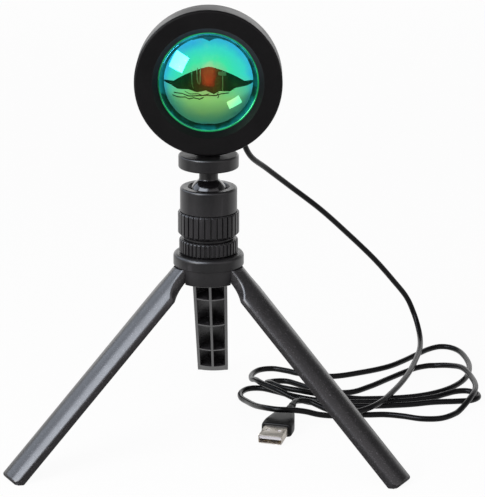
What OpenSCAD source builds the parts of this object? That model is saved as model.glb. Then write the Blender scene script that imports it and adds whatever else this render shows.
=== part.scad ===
// Sunset projection lamp: a round head with a domed coated lens, on a ball head and a folding mini tripod,
// with a thin cord that lies in loose loops and ends in a plug.
// Millimetres, +Z up. The origin is on the floor, under the middle of the lamp without its cord.
// The lens looks along -Y.

/* [Legs] */
// Length of a leg from its hinge pin to the end of the foot
leg_len = 134.5; // [125:0.5:150]
// Angle of an open leg from the vertical
leg_splay = 45.8; // [40:0.1:48]
// Width of a leg where its full section starts
leg_w_root = 17.6; // [16.8:0.1:18.4]
// Width of a leg at the foot
leg_w_foot = 16.4; // [15:0.1:16.7]
// Radius of the rounded outer face of a leg
leg_crown_r = 12.5; // [11:0.1:15]
// Depth of a leg from its crown to the edges of its side walls
leg_depth = 6.3; // [6:0.1:7]
// Height of the crown above the line through the hinge pin
leg_rise = 4.4; // [4.2:0.1:4.8]
// Wall thickness of a leg
leg_wall = 1.5; // [1:0.1:2]
// Width of the hinge tab at the top of a leg
leg_tab_w = 10; // [8:0.1:10.6]
// Radius of the scoop between the tab and the full width
scoop_r = 16; // [12:0.5:20]
// Distance between the cross ribs on the inner side
rib_pitch = 30; // [26:0.5:34]
// Thickness of the ribs
rib_t = 1.2; // [0.8:0.1:1.8]
// How far the ribs stand out of the side walls at the middle of the leg
rib_bulge = 0.9; // [0.6:0.1:1.4]
// Solid length at the end of the foot
foot_len = 8; // [6:0.5:12]
// Radius of the corners of the foot
foot_corner_r = 3.2; // [1.5:0.1:4]
// Height of the flat that is cut on the sole
sole_cut = 2.5; // [2:0.1:2.8]

/* [Hub] */
// Diameter of the hub cap
cap_d = 34.2; // [33.4:0.1:38]
// Height of the hub cap
cap_h = 6; // [5.6:0.1:8]
// Wall of the skirt of the hub cap
cap_wall = 1.5; // [1.2:0.1:1.8]
// Depth of the cavity in the hub cap
cap_cavity = 3.85; // [3.8:0.05:4.2]
// Edge radius of the hub cap
cap_round = 1.8; // [0.8:0.1:2]
// Diameter of the hub body below the cap
hub_d = 33; // [30:0.1:33.4]
// Height of the hub body below the cap
hub_h = 7.5; // [6:0.1:7.8]
// Distance of the hinge pins from the tripod axis
pin_r = 10.5; // [10:0.1:10.8]
// Diameter of a hinge pin
pin_d = 2.4; // [2:0.1:2.8]
// Length of a hinge pin
pin_len = 20; // [16:0.5:21]
// Height of the hinge pins above the lower edge of the cap
pin_rise = 1; // [0.9:0.05:1.1]
// Radius of the knuckle round a hinge pin
knuckle_r = 2.5; // [2.2:0.05:2.55]
// Diameter of the tripod stud
stud_d = 6.35; // [6:0.05:6.5]

/* [Ball head] */
// Diameter of the screw knob over its ribs
knob_d = 28.4; // [26:0.1:32]
// Height of the screw knob
knob_h = 6.7; // [5:0.1:9]
// Ribs round the screw knob
knob_ribs = 40; // [30:1:48]
// Diameter of the lock ring over its ribs
ring_d = 29.6; // [28.6:0.1:33]
// Height of the lock ring
ring_h = 12.2; // [10:0.1:15]
// Ribs round the lock ring
ring_ribs = 32; // [24:1:40]
// Depth of the grooves between ribs
rib_depth = 0.7; // [0.4:0.1:0.9]
// Outside diameter of the ball socket
cup_d = 27.5; // [26:0.1:30]
// Diameter of the threaded tail of the ball socket
tail_d = 24; // [22:0.1:25]
// Height of the socket rim above the ball centre
rim_rise = 4.8; // [4.2:0.1:5.2]
// Height of the ball centre above the lock ring
ball_rise = 7.2; // [6.6:0.1:9]
// Diameter of the ball
ball_d = 19; // [18.6:0.1:19.6]
// Diameter of the neck on the ball
neck_d = 9.1; // [8:0.1:9.6]
// Width of the notch in the socket rim
notch_w = 11.2; // [10.6:0.1:13]
// Diameter of the ball seat
seat_d = 17; // [15:0.1:17.2]
// Diameter of the threaded bush
bush_d = 10; // [9:0.1:12]
// Length of the threaded bush
bush_len = 7; // [5:0.1:7.6]
// Height of the platform above the ball centre
platform_rise = 14.4; // [13.5:0.1:18]
// Diameter of the platform
platform_d = 29; // [26:0.1:34]
// Thickness of the platform
platform_h = 6.5; // [5:0.1:9]

/* [Lamp head] */
// Outside diameter of the bezel
head_d = 70; // [68:0.5:80]
// Depth of the bezel
bezel_len = 16; // [15:0.1:20]
// Distance of the front face from the tripod axis
face_y = 10; // [8.5:0.1:11]
// Diameter of the mouth of the recess in the bezel
recess_d = 52.8; // [50:0.1:56]
// Diameter of the lens that shows
lens_clear_d = 47.8; // [44:0.1:48]
// Depth of the sloping recess
recess_len = 3.2; // [2:0.1:4]
// Outside diameter of the lens
lens_d = 51; // [50.4:0.1:52]
// Thickness of the lens at its edge
lens_edge = 3; // [2:0.1:4]
// Height of the lens dome
lens_sag = 7.8; // [5:0.1:11]
// Outside diameter of the rear barrel
barrel_d = 54; // [53:0.1:58]
// Length of the rear barrel behind the bezel
barrel_len = 38; // [37:0.5:50]
// Wall of the rear barrel
barrel_wall = 3; // [2.7:0.1:3.4]
// Thickness of the rear cap
rear_cap_t = 2.5; // [2:0.1:4]
// Diameter of the light source board
led_board_d = 30; // [28:0.1:36]
// Thickness of the circuit boards
board_t = 1.6; // [1:0.1:2]
// Thickness of the heat sink plate
sink_t = 4; // [3:0.1:5]
// Length of the heat sink fins
fin_len = 7; // [4:0.1:8]

/* [Cord] */
// Diameter of the cord
cord_d = 3; // [2.4:0.1:3]
// Length of the tapered cord gland outside the rear cap
gland_len = 10.5; // [9:0.5:12]
// Distance of the gland to the right of the lamp axis
gland_x = 8; // [6:0.5:10]
// Distance of the gland below the lamp axis
gland_drop = 9.5; // [8:0.5:10]

/* [Plug] */
// Width of the metal plug shell
shell_w = 12; // [11:0.1:13]
// Height of the metal plug shell
shell_h = 4.5; // [4:0.1:5]
// Length of the plug shell in front of the plug body
shell_len = 12.1; // [10:0.1:14]
// Wall of the plug shell
shell_t = 0.4; // [0.3:0.05:0.5]
// Width of the plug body
plug_w = 15.6; // [14:0.1:18]
// Height of the plug body
plug_h = 7; // [6.4:0.1:7]
// Length of the plug body
plug_len = 20; // [16:0.5:20]
// Length of the strain relief of the plug
relief_len = 12; // [10:0.5:13]

/* [Hidden] */
$fn = 64;
eps = 0.01;
far = 300;

// Clearances
run_play = 0.05;     // radial, pin or stud that turns in a bore
seat_play = 0.1;     // radial, piece that sits in a bore
fit_play = 0.01;     // radial, pressed or screwed piece
ball_play = 0.2;     // radial, ball in its socket
side_play = 0.2;     // hinge tab in its slot, each side
face_gap = 0.3;      // between faces that turn past each other
stop_gap = 0.12;     // open leg under the hub cap

// Azimuths of the legs and of what lies between them
az_left = 210;
az_right = 330;
az_rear = 90;
LEG_AZ = [az_left, az_right, az_rear];
BETWEEN_AZ = [30, 150, 270];

// Leg: x along the leg from the hinge pin, y across, z out of the crown
edge_z = leg_rise - leg_depth;
cavity_start = 15;
cavity_x0 = cavity_start - rib_t / 2;
scoop_gap = 0.6;
scoop_x = hub_h + pin_rise + scoop_gap;
scoop_depth = (leg_w_root - leg_tab_w) / 2;
rib_half = leg_w_foot / 2 - leg_wall;
rib_r = (rib_half * rib_half + rib_bulge * rib_bulge) / (2 * rib_bulge);
rib_count = floor((leg_len - foot_len - 2 - cavity_x0) / rib_pitch);
corner_steps = 8;

// Heights from the floor up
pin_z = leg_len * cos(leg_splay) + (rib_bulge - edge_z) * sin(leg_splay) - sole_cut;
cap_z = pin_z - pin_rise;
cap_top = cap_z + cap_h;
hub_z = cap_z - hub_h;
knob_z = cap_top + face_gap;
tail_z = knob_z + knob_h + face_gap;
ring_z = tail_z + 1.2;
cup_z = ring_z + ring_h + face_gap;
ball_z = cup_z - face_gap + ball_rise;
rim_z = ball_z + rim_rise;
platform_z = ball_z + platform_rise;
platform_top = platform_z + platform_h;
boss_h = 1;
head_z = platform_top + boss_h + head_d / 2;

// Hub
cap_bore_r = cap_d / 2 - cap_wall;
slot_r0 = pin_r - 4.2;
hub_round = 0.8;
screw_r = 9.3;
screw_shank_r = 1;
screw_head_r = 2;
screw_head_h = 1.4;
stud_head_r = 5.4;
stud_head_h = 3;
stud_top = tail_z + bush_len - 0.5;

// Ball head
ball_r = ball_d / 2;
ball_cavity_r = ball_r + ball_play;
lip_rise = 3;
lip_r = sqrt(ball_cavity_r * ball_cavity_r - lip_rise * lip_rise);
mouth_r = lip_r + 0.9;
rim_round = 1.2;
notch_rise = notch_w / 2 - 1.4;
seat_wall = 1;
seat_depth = 4.3;
seat_z = tail_z + bush_len + seat_wall;
seat_top = ball_z - ball_r + seat_depth;

// Platform screw and the threaded insert in the bezel
screw_flange_r = neck_d / 2 - 0.2;
screw_flange_h = 2;
insert_d = 9.5;
insert_wall = 2.85;
boss_r = 5.6;

// Stations along the lamp axis, +y to the rear
front_y = -face_y;
bezel_y1 = front_y + bezel_len;
lip_y = front_y + recess_len;
lip_t = 0.8;
gasket_y = lip_y + lip_t;
gasket_t = 1;
lens_y = gasket_y + gasket_t;
retainer_y = lens_y + lens_edge;
retainer_t = 3;
spigot_y = retainer_y + retainer_t;
pocket_play = 0.15;
pocket_r = lens_d / 2 + pocket_play;
insert_len = boss_h + head_d / 2 - pocket_r - insert_wall;
dome_base_r = lens_clear_d / 2 + 0.3;
dome_r = (dome_base_r * dome_base_r + lens_sag * lens_sag) / (2 * lens_sag);
barrel_bore = barrel_d - 2 * barrel_wall;
barrel_y1 = bezel_y1 + barrel_len;
cap_y1 = barrel_y1 + rear_cap_t;
tube_wall = 1.2;
tube_gap = 0.5;
tube_y0 = spigot_y + tube_gap;
tube_flange_t = 1.5;
tube_rear_r = 7;
tube_len = 20;
led_y = tube_y0 + tube_len;
sink_y = led_y + board_t;
fin_y = sink_y + sink_t;
fin_t = 1.2;
fin_pitch = 6;
fin_inset = 3.5;
driver_gap = 2;
driver_y = fin_y + fin_len + driver_gap;
driver_w = 30;
driver_h = 22;
bolt_inset = 3.5;
bolt_x = led_board_d / 2 - bolt_inset;
wire_x = 3;
wire_z = 10;
wire_r = 0.6;
post_x = 12;
post_r = 2;
boss_inset = 2.2;
boss_at_r = barrel_bore / 2 - boss_inset;
boss_out_r = 2.8;
boss_len = 7;
boss_y0 = barrel_y1 - boss_len;
gland_r = 2.9;
gland_in_y = driver_y + board_t + 1;
gland_tip_y = cap_y1 + gland_len;
gland_z = head_z - gland_drop;

// The part's own middle: the rear foot reaches back further than the front feet reach forward
rear_reach = pin_r + leg_len * sin(leg_splay) + leg_rise * cos(leg_splay);
front_reach = (pin_r + leg_len * sin(leg_splay)) * sin(30) + leg_w_foot / 2 * cos(30) - 0.3;
axis_y = (front_reach - rear_reach) / 2;

// Plug on the floor: the lower front edge of its body, its heading and its pitch
plug_at = [33.73, 6.13];
plug_heading = -105.5;
plug_pitch = 3;
shell_in = 4;
shell_z = (plug_h - shell_h) / 2;
tongue_h = 1.8;
tongue_z = shell_z + shell_h - shell_t - tongue_h;
contact_t = 0.2;
relief_r0 = 2.5;
relief_r1 = 1.9;

// Route of the cord from the gland to the plug, measured from the tripod axis.
// It starts straight out of the gland, drops behind the head, crosses the loops on the floor,
// lies in three loose ovals and runs straight into the strain relief of the plug.
straight = 4;
drop_points = [
    [8.3, 64.5, 172.6], [8.9, 67.1, 170], [9.8, 68.4, 166], [12, 69.6, 157.8], [14.5, 70, 147.8],
    [16, 72, 136.3], [20, 79.5, 125.8], [28.5, 94, 115.5], [41, 108, 102.3], [57.5, 119.5, 86.6],
    [73, 130, 69.9], [88, 138.5, 53.2], [99.5, 145, 38.5], [107.3, 149.3, 27.6], [111.5, 149, 18.6],
    [113.8, 144.1, 12], [114.5, 135.2, 8], [113.4, 122.6, 6.2]];
loop_points = [
    [110, 106.2, 5.6], [106.4, 91.2, 5.5], [102.5, 77.8, 5.5], [98.6, 66.5, 5.5], [94.3, 55.8, 5.5],
    [89.2, 44.4, 5.5], [83.5, 35.5, 5.5], [77.5, 30, 5.2], [70.5, 26.6, 4.4], [63, 24.8, 4.2],
    [55.4, 22.6, 5.6], [48.4, 19.4, 8.4], [41.2, 16.2, 10.4], [34.6, 15.6, 10.8], [28.4, 20, 10],
    [23.2, 31.5, 6.8], [19, 46, 3.4], [15.8, 56, 1.8], [15.6, 64.2, 1.5], [19.4, 70.4, 1.5],
    [26.4, 71.2, 1.5], [34, 66.6, 1.5], [44.5, 59, 1.5], [58, 53, 1.5], [79, 51.5, 1.5], [101, 54, 1.5],
    [115.5, 59.5, 1.5], [122.5, 64.5, 1.5], [128.2, 68.6, 1.5], [134.2, 69.8, 1.5], [139, 66.5, 1.5],
    [139.6, 60.4, 1.5], [135.6, 55.8, 1.5], [128.6, 54.2, 1.5], [115.5, 52.5, 1.5], [101, 48.5, 1.5],
    [79, 46, 1.5], [58, 48.4, 1.5], [45, 52.2, 2.7], [34.5, 58.6, 5.5], [26.8, 67.5, 5.6], [23.4, 75, 4.9],
    [21.2, 84, 2.1], [21.4, 92.6, 1.5], [25.3, 99.8, 1.5], [32.4, 102, 1.5], [40, 98.8, 1.5],
    [47.5, 94.4, 1.5], [64, 90.5, 1.5], [81, 97.5, 1.5], [94.5, 106, 1.5], [103.5, 115.5, 1.5],
    [111.5, 126, 1.5], [119.5, 136, 1.5], [126.5, 140.5, 1.5], [133, 138, 1.5], [137.5, 128.5, 1.5],
    [139.5, 109.5, 1.5], [136, 90.5, 1.5], [127.5, 75.5, 1.5], [115.5, 65, 1.5], [100.5, 59, 1.5],
    [79, 56.5, 1.5], [59.5, 57, 3.4], [45.5, 57.5, 5.6], [36.5, 62, 5.6], [31.2, 68.8, 5.4],
    [29.3, 74.2, 3.7], [30.4, 78.8, 2.3], [33.3, 81.7, 1.7], [37.2, 82.7, 1.5], [41.3, 81.5, 1.5],
    [47.6, 76, 1.5], [57.5, 67, 1.5], [72.5, 66, 1.5], [83.5, 75, 1.5], [93.5, 86.5, 1.5], [104, 98.5, 1.5],
    [112, 106, 1.5], [120.5, 109, 1.5], [128.5, 104.5, 3.2], [134.5, 94.5, 5.4], [138, 79.5, 5.4],
    [138.5, 64.5, 5.6], [134.5, 50.5, 4.9], [126.5, 37.5, 1.5], [118, 29.5, 1.5], [108, 28.5, 1.5],
    [98.5, 32, 1.5], [89.5, 34, 1.5], [79.5, 33.5, 1.5], [69, 35, 1.5], [62.5, 38.7, 1.5], [58.2, 41.7, 2],
    [54, 44.6, 3], [51, 45.8, 3.9], [47.7, 45.4, 4.4], [45, 43.7, 4.9]];
drop_steps = 3;
loop_steps = 2;
drop_sides = 8;
loop_sides = 6;

// Vectors and smooth curves

function unit(v) = v / norm(v);

function spline(p, q, r, s, t) =
    0.5 * (2 * q + (r - p) * t + (2 * p - 5 * q + 4 * r - s) * t * t + (3 * q - p - 3 * r + s) * t * t * t);

// Points on a smooth curve from the point at index first to the one at index last, with steps per stretch
function curve(pts, first, last, steps) = concat(
    [for (i = [first:last - 1], k = [0:steps - 1])
        spline(pts[max(i - 1, 0)], pts[i], pts[i + 1], pts[min(i + 2, len(pts) - 1)], k / steps)],
    [pts[last]]);

function tangents(path, head, tail) =
    [for (i = [0:len(path) - 1])
        i == 0 ? unit(head) : i == len(path) - 1 ? unit(tail) : unit(path[i + 1] - path[i - 1])];

// Side vectors that turn no more than the curve itself does
function sides(tan, start) =
    [for (i = 0, s = unit(start - (start * tan[0]) * tan[0]); i < len(tan);
        i = i + 1, s = i < len(tan) ? unit(s - (s * tan[i]) * tan[i]) : s) s];

// No point of the cord sinks into the floor
function on_floor(p) = [p[0], p[1], max(p[2], cord_d / 2)];

// A closed round tube along a path
module tube_along(path, head, tail, r, n) {
    tan = tangents(path, head, tail);
    side = sides(tan, [1, 0.2, 0.1]);
    points = [for (i = [0:len(path) - 1], k = [0:n - 1])
        path[i] + r * (cos(360 * k / n) * side[i] + sin(360 * k / n) * cross(tan[i], side[i]))];
    last = (len(path) - 1) * n;
    walls = [for (i = [0:len(path) - 2], k = [0:n - 1], half = [0, 1])
        half == 0
            ? [i * n + k, (i + 1) * n + k, i * n + (k + 1) % n]
            : [i * n + (k + 1) % n, (i + 1) * n + k, (i + 1) * n + (k + 1) % n]];
    start_cap = [for (k = [1:n - 2]) [0, k, k + 1]];
    end_cap = [for (k = [1:n - 2]) [last, last + k + 1, last + k]];
    polyhedron(points = points, faces = concat(walls, start_cap, end_cap));
}

// Cord paths in the part's own frame
plug_back = [-plug_len - relief_len, 0, plug_h / 2];
to_middle = [0, axis_y, 0];
cord_start = [gland_x, gland_tip_y, gland_z];
cord_end = plug_to_world(plug_back) - to_middle;
before_end = plug_to_world(plug_back - [straight, 0, 0]) - to_middle;
route = concat([cord_start, cord_start + [0, straight, 0]], drop_points, loop_points, [before_end, cord_end]);
drop_last = len(drop_points) + 1;
drop_path = [for (p = curve(route, 0, drop_last, drop_steps)) on_floor(p) + to_middle];
loop_path = [for (p = curve(route, drop_last, len(route) - 1, loop_steps)) on_floor(p) + to_middle];
joint_dir = route[drop_last + 1] - route[drop_last - 1];

function turn_z(v, a) = [v[0] * cos(a) - v[1] * sin(a), v[0] * sin(a) + v[1] * cos(a), v[2]];
function turn_y(v, a) = [v[0] * cos(a) + v[2] * sin(a), v[1], -v[0] * sin(a) + v[2] * cos(a)];
function plug_to_world(v) =
    turn_z(turn_y(v, plug_pitch), plug_heading) + [plug_at[0], plug_at[1] + axis_y, 0];
plug_forward = turn_z(turn_y([1, 0, 0], plug_pitch), plug_heading);

// Least gap between stretches of the cord that lie more than four diameters apart along it
cord_points = concat(drop_path, [for (i = [1:len(loop_path) - 1]) loop_path[i]]);
cord_run = [for (i = 0, s = 0; i < len(cord_points);
    i = i + 1, s = i < len(cord_points) ? s + norm(cord_points[i] - cord_points[i - 1]) : s) s];
cord_gap = min([for (i = [0:len(cord_points) - 2], j = [i + 1:len(cord_points) - 1])
    if (cord_run[j] - cord_run[i] > 6 * cord_d) norm(cord_points[j] - cord_points[i])]) - cord_d;
echo(cord_length = cord_run[len(cord_run) - 1], cord_gap = cord_gap);

// Placing

module on_axis() { translate([0, axis_y, 0]) children(); }

module on_lamp() { translate([0, axis_y, head_z]) rotate([-90, 0, 0]) children(); }

module round_legs() { on_axis() for (az = LEG_AZ) rotate([0, 0, az]) children(); }

module at_pin() { translate([pin_r, 0, pin_z]) rotate([90, 0, 0]) children(); }

module at_plug() {
    translate([plug_at[0], plug_at[1] + axis_y, 0])
        rotate([0, 0, plug_heading])
            rotate([0, plug_pitch, 0])
                children();
}

// Half outline of a ring with rounded outer corners, from radius r0 to r1 and from z0 to z1
module ring_2d(r0, r1, z0, z1, f0, f1) {
    f = max(f0, f1);
    translate([r0, z0]) square([r1 - f - r0, z1 - z0]);
    translate([r0, z0 + f0]) square([r1 - r0, z1 - z0 - f0 - f1]);
    if (f0 > 0) translate([r1 - f0, z0 + f0]) circle(r = f0);
    if (f1 > 0) translate([r1 - f1, z1 - f1]) circle(r = f1);
}

// A gear-like outline of flat ribs and straight grooves
module ribbed_2d(r, depth, count, rib_share) {
    step = 360 / count;
    polygon([for (i = [0:count - 1], k = [0:3])
        let (a = step * (i + (k < 2 ? (k - 0.5) * rib_share : 0.5 + (k - 2.5) * (1 - rib_share) * 0.6)))
        let (rr = k < 2 ? r : r - depth)
        rr * [cos(a), sin(a)]]);
}

// Hub

module hub_cap() {
    color([0.16, 0.16, 0.17]) on_axis() difference() {
        translate([0, 0, cap_z]) rotate_extrude() ring_2d(0, cap_d / 2, 0, cap_h, 0.4, cap_round);
        translate([0, 0, cap_z - eps]) cylinder(r = cap_bore_r, h = cap_cavity + eps);
        translate([0, 0, cap_z]) cylinder(d = stud_d + 2 * seat_play, h = far);
        for (az = BETWEEN_AZ) rotate([0, 0, az]) translate([screw_r, 0, cap_z])
            cylinder(r = screw_shank_r + fit_play, h = cap_cavity + 1.4);
    }
}

module hub_body() {
    slot_w = leg_tab_w + 2 * side_play;
    color([0.15, 0.15, 0.16]) on_axis() difference() {
        union() {
            translate([0, 0, hub_z]) rotate_extrude() ring_2d(0, hub_d / 2, 0, hub_h, hub_round, 0);
            translate([0, 0, cap_z]) cylinder(r = cap_bore_r - seat_play, h = cap_cavity - seat_play);
        }
        for (az = LEG_AZ) rotate([0, 0, az]) {
            translate([slot_r0, -slot_w / 2, hub_z - 1]) cube([cap_d, slot_w, hub_h + cap_h + 2]);
            at_pin() cylinder(d = pin_d + 2 * fit_play, h = pin_len + 2 * seat_play, center = true);
        }
        for (az = BETWEEN_AZ) rotate([0, 0, az]) translate([screw_r, 0, hub_z - eps]) {
            cylinder(r = screw_shank_r + seat_play, h = far);
            cylinder(r = screw_head_r + seat_play, h = screw_head_h + 0.4 + eps);
        }
        translate([0, 0, hub_z - eps]) cylinder(d = stud_d + 2 * seat_play, h = far);
        translate([0, 0, hub_z - eps]) cylinder(r = stud_head_r + seat_play, h = stud_head_h + 0.5 + eps, $fn = 6);
    }
}

module hub_screws() {
    color([0.6, 0.6, 0.62]) on_axis() for (az = BETWEEN_AZ) rotate([0, 0, az]) translate([screw_r, 0, hub_z + 0.4]) {
        cylinder(r = screw_head_r, h = screw_head_h);
        cylinder(r = screw_shank_r, h = hub_h + cap_cavity + 0.8);
    }
}

module leg_pins() {
    color([0.65, 0.65, 0.67]) round_legs() at_pin() cylinder(d = pin_d, h = pin_len, center = true);
}

module tripod_stud() {
    color([0.7, 0.7, 0.72]) on_axis() translate([0, 0, hub_z + 0.5]) {
        cylinder(r = stud_head_r, h = stud_head_h, $fn = 6);
        cylinder(d = stud_d, h = stud_top - hub_z - 0.5);
    }
}

// Legs

module along_leg(r, z) { translate([-1, 0, z]) rotate([0, 90, 0]) cylinder(r = r, h = leg_len + 2); }

// Plan of a leg with its foot corners, inset from the outside, as an upright block
module leg_block(inset, x1, z0) {
    w0 = leg_w_root / 2 - inset;
    w1 = leg_w_foot / 2 - inset;
    corner = max(foot_corner_r - inset, 0.5);
    arc = [for (k = [0:corner_steps]) corner * [sin(90 * k / corner_steps), cos(90 * k / corner_steps)]];
    foot = [x1 - corner, w1 - corner];
    translate([0, 0, z0]) linear_extrude(height = 30) polygon(concat(
        [[0, -w0], [0, w0]],
        [for (a = arc) foot + a],
        [for (k = [corner_steps:-1:0]) [foot[0] + arc[k][0], -foot[1] - arc[k][1]]]));
}

module leg_scoops() {
    for (s = [-1, 1]) {
        translate([scoop_x, s * (leg_tab_w / 2 + scoop_r), -10]) cylinder(r = scoop_r, h = 30);
        translate([-1, s > 0 ? leg_tab_w / 2 : -leg_tab_w / 2 - scoop_depth - 1, -10])
            cube([scoop_x + 1, scoop_depth + 1, 30]);
    }
}

// Ribs and the solid foot reach halfway into the walls, and a wide round bounds their free edges
module leg_ribs() {
    z0 = edge_z - rib_bulge;
    low = z0 - 4;
    half_wall = leg_wall / 2;
    intersection() {
        union() {
            translate([cavity_x0, -rib_t / 2, low]) cube([leg_len - cavity_x0, rib_t, 30]);
            for (i = [1:rib_count]) translate([cavity_x0 + i * rib_pitch, -15, low]) cube([rib_t, 30, 30]);
            translate([leg_len - foot_len - half_wall, -15, low]) cube([foot_len + 5, 30, 30]);
        }
        along_leg(leg_crown_r - half_wall, leg_rise - leg_crown_r);
        along_leg(rib_r, z0 + rib_r);
        leg_block(half_wall, leg_len - half_wall, low);
    }
}

module leg_body() {
    difference() {
        intersection() {
            along_leg(leg_crown_r, leg_rise - leg_crown_r);
            leg_block(0, leg_len, edge_z);
        }
        difference() {
            intersection() {
                along_leg(leg_crown_r - leg_wall, leg_rise - leg_crown_r);
                leg_block(leg_wall, leg_len - foot_len, edge_z - 15);
                translate([cavity_x0, -15, -15]) cube([leg_len, 30, 30]);
            }
            for (s = [-1, 1]) translate([scoop_x, s * (leg_tab_w / 2 + scoop_r), -20])
                cylinder(r = scoop_r + leg_wall, h = 40);
        }
        leg_scoops();
    }
    leg_ribs();
}

module leg(az) {
    on_axis() rotate([0, 0, az]) difference() {
        union() {
            difference() {
                translate([pin_r, 0, pin_z]) rotate([0, 90 - leg_splay, 0]) leg_body();
                translate([-15, -25, cap_z - stop_gap]) cube([60, 50, 20]);
            }
            at_pin() cylinder(r = knuckle_r, h = leg_tab_w - 0.4, center = true);
        }
        at_pin() cylinder(d = pin_d + 2 * run_play, h = 2 * leg_tab_w, center = true);
        translate([0, -50, -20]) cube([far, 100, 20]);
    }
}

module leg_left() { color([0.19, 0.2, 0.22]) leg(az_left); }

module leg_right() { color([0.19, 0.2, 0.22]) leg(az_right); }

module leg_rear() { color([0.19, 0.2, 0.22]) leg(az_rear); }

// Ball head

module screw_knob() {
    bevel = 0.6;
    r = knob_d / 2;
    color([0.13, 0.13, 0.14]) on_axis() translate([0, 0, knob_z]) difference() {
        intersection() {
            linear_extrude(height = knob_h) ribbed_2d(r, rib_depth, knob_ribs, 0.45);
            rotate_extrude() polygon([[0, 0], [r - bevel, 0], [r, bevel], [r, knob_h - bevel],
                [r - bevel, knob_h], [0, knob_h]]);
        }
        translate([0, 0, -1]) cylinder(d = stud_d + 2 * run_play, h = knob_h + 2);
    }
}

module lock_ring() {
    bevel = 0.7;
    foot = 1.8;
    r = ring_d / 2;
    color([0.12, 0.12, 0.13]) on_axis() translate([0, 0, ring_z]) difference() {
        intersection() {
            linear_extrude(height = ring_h) ribbed_2d(r, rib_depth, ring_ribs, 0.7);
            rotate_extrude() polygon([[0, 0], [r - foot, 0], [r, foot], [r, ring_h - bevel],
                [r - bevel, ring_h], [0, ring_h]]);
        }
        translate([0, 0, -1]) cylinder(d = tail_d + 2 * run_play, h = ring_h + 2);
    }
}

module ball_socket() {
    color([0.14, 0.14, 0.15]) on_axis() difference() {
        union() {
            translate([0, 0, cup_z]) rotate_extrude() ring_2d(0, cup_d / 2, 0, rim_z - cup_z, 0, rim_round);
            translate([0, 0, tail_z]) cylinder(d = tail_d, h = cup_z - tail_z + eps);
        }
        translate([0, 0, ball_z]) sphere(r = ball_cavity_r);
        translate([0, 0, ball_z + lip_rise]) cylinder(r1 = lip_r, r2 = mouth_r, h = rim_rise - lip_rise + eps);
        translate([0, 0, seat_z]) cylinder(d = seat_d + 2 * seat_play, h = ball_z - seat_z);
        translate([0, 0, tail_z - eps]) cylinder(d = bush_d + 2 * fit_play, h = bush_len + eps);
        translate([0, 0, tail_z]) cylinder(d = stud_d + 2 * seat_play, h = bush_len + 2);
        translate([0, 0, ball_z + notch_rise]) {
            rotate([-90, 0, 0]) cylinder(d = notch_w, h = cup_d);
            translate([-notch_w / 2, 0, 0]) cube([notch_w, cup_d, cup_d]);
        }
    }
}

module ball_seat() {
    color([0.75, 0.74, 0.7]) on_axis() difference() {
        translate([0, 0, seat_z]) cylinder(d = seat_d, h = seat_top - seat_z);
        translate([0, 0, ball_z]) sphere(r = ball_cavity_r);
    }
}

module thread_bush() {
    color([0.72, 0.58, 0.28]) on_axis() translate([0, 0, tail_z]) difference() {
        cylinder(d = bush_d, h = bush_len);
        translate([0, 0, -1]) cylinder(d = stud_d + 2 * run_play, h = bush_len + 2);
    }
}

module ball_stud() {
    collar_r = neck_d / 2 + 0.5;
    color([0.05, 0.05, 0.06]) on_axis() translate([0, 0, ball_z]) {
        sphere(r = ball_r);
        cylinder(d = neck_d, h = platform_rise);
        translate([0, 0, platform_rise - 0.8]) cylinder(r = collar_r, h = 0.8);
    }
}

module platform() {
    color([0.14, 0.14, 0.15]) on_axis() difference() {
        translate([0, 0, platform_z]) rotate_extrude() ring_2d(0, platform_d / 2, 0, platform_h, 0.8, 1);
        translate([0, 0, platform_z - eps]) cylinder(r = screw_flange_r + fit_play, h = screw_flange_h + eps);
        translate([0, 0, platform_z]) cylinder(d = stud_d + 2 * fit_play, h = far);
    }
}

module platform_screw() {
    color([0.7, 0.7, 0.72]) on_axis() translate([0, 0, platform_z]) {
        cylinder(r = screw_flange_r, h = screw_flange_h);
        cylinder(d = stud_d, h = platform_h + insert_len - 0.5);
    }
}

// Lamp head: profiles are drawn as radius and station along the lamp axis

module front_bezel() {
    color([0.07, 0.07, 0.08]) difference() {
        union() {
            on_lamp() rotate_extrude() difference() {
                ring_2d(0, head_d / 2, front_y, bezel_y1, 1.2, 1);
                polygon([[0, front_y - 1], [recess_d / 2, front_y - 1], [recess_d / 2, front_y],
                    [lens_clear_d / 2, lip_y], [lens_clear_d / 2, gasket_y], [pocket_r, gasket_y],
                    [pocket_r, bezel_y1 + 1], [0, bezel_y1 + 1]]);
            }
            on_axis() translate([0, 0, platform_top]) cylinder(r = boss_r, h = insert_len);
        }
        on_axis() translate([0, 0, platform_top - eps]) cylinder(d = insert_d + 2 * fit_play, h = insert_len + eps);
    }
}

module tripod_insert() {
    color([0.72, 0.58, 0.28]) on_axis() translate([0, 0, platform_top]) difference() {
        cylinder(d = insert_d, h = insert_len);
        translate([0, 0, -1]) cylinder(d = stud_d + 2 * run_play, h = insert_len + 2);
    }
}

module lens() {
    color([0.1, 0.75, 0.6, 0.6]) on_lamp() {
        translate([0, 0, lens_y]) cylinder(d = lens_d, h = lens_edge);
        intersection() {
            translate([0, 0, lens_y - lens_sag + dome_r]) sphere(r = dome_r);
            translate([0, 0, lens_y - lens_sag - 1]) cylinder(r = dome_base_r, h = lens_sag + 1 + eps);
        }
    }
}

module lens_gasket() {
    color([0.04, 0.04, 0.04]) on_lamp() translate([0, 0, gasket_y]) difference() {
        cylinder(d = lens_d, h = gasket_t);
        translate([0, 0, -1]) cylinder(r = dome_base_r + 0.2, h = gasket_t + 2);
    }
}

module lens_retainer() {
    color([0.1, 0.1, 0.1]) on_lamp() translate([0, 0, retainer_y]) difference() {
        cylinder(d = lens_d, h = retainer_t);
        translate([0, 0, -1]) cylinder(r = lens_d / 2 - 3, h = retainer_t + 2);
    }
}

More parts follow.
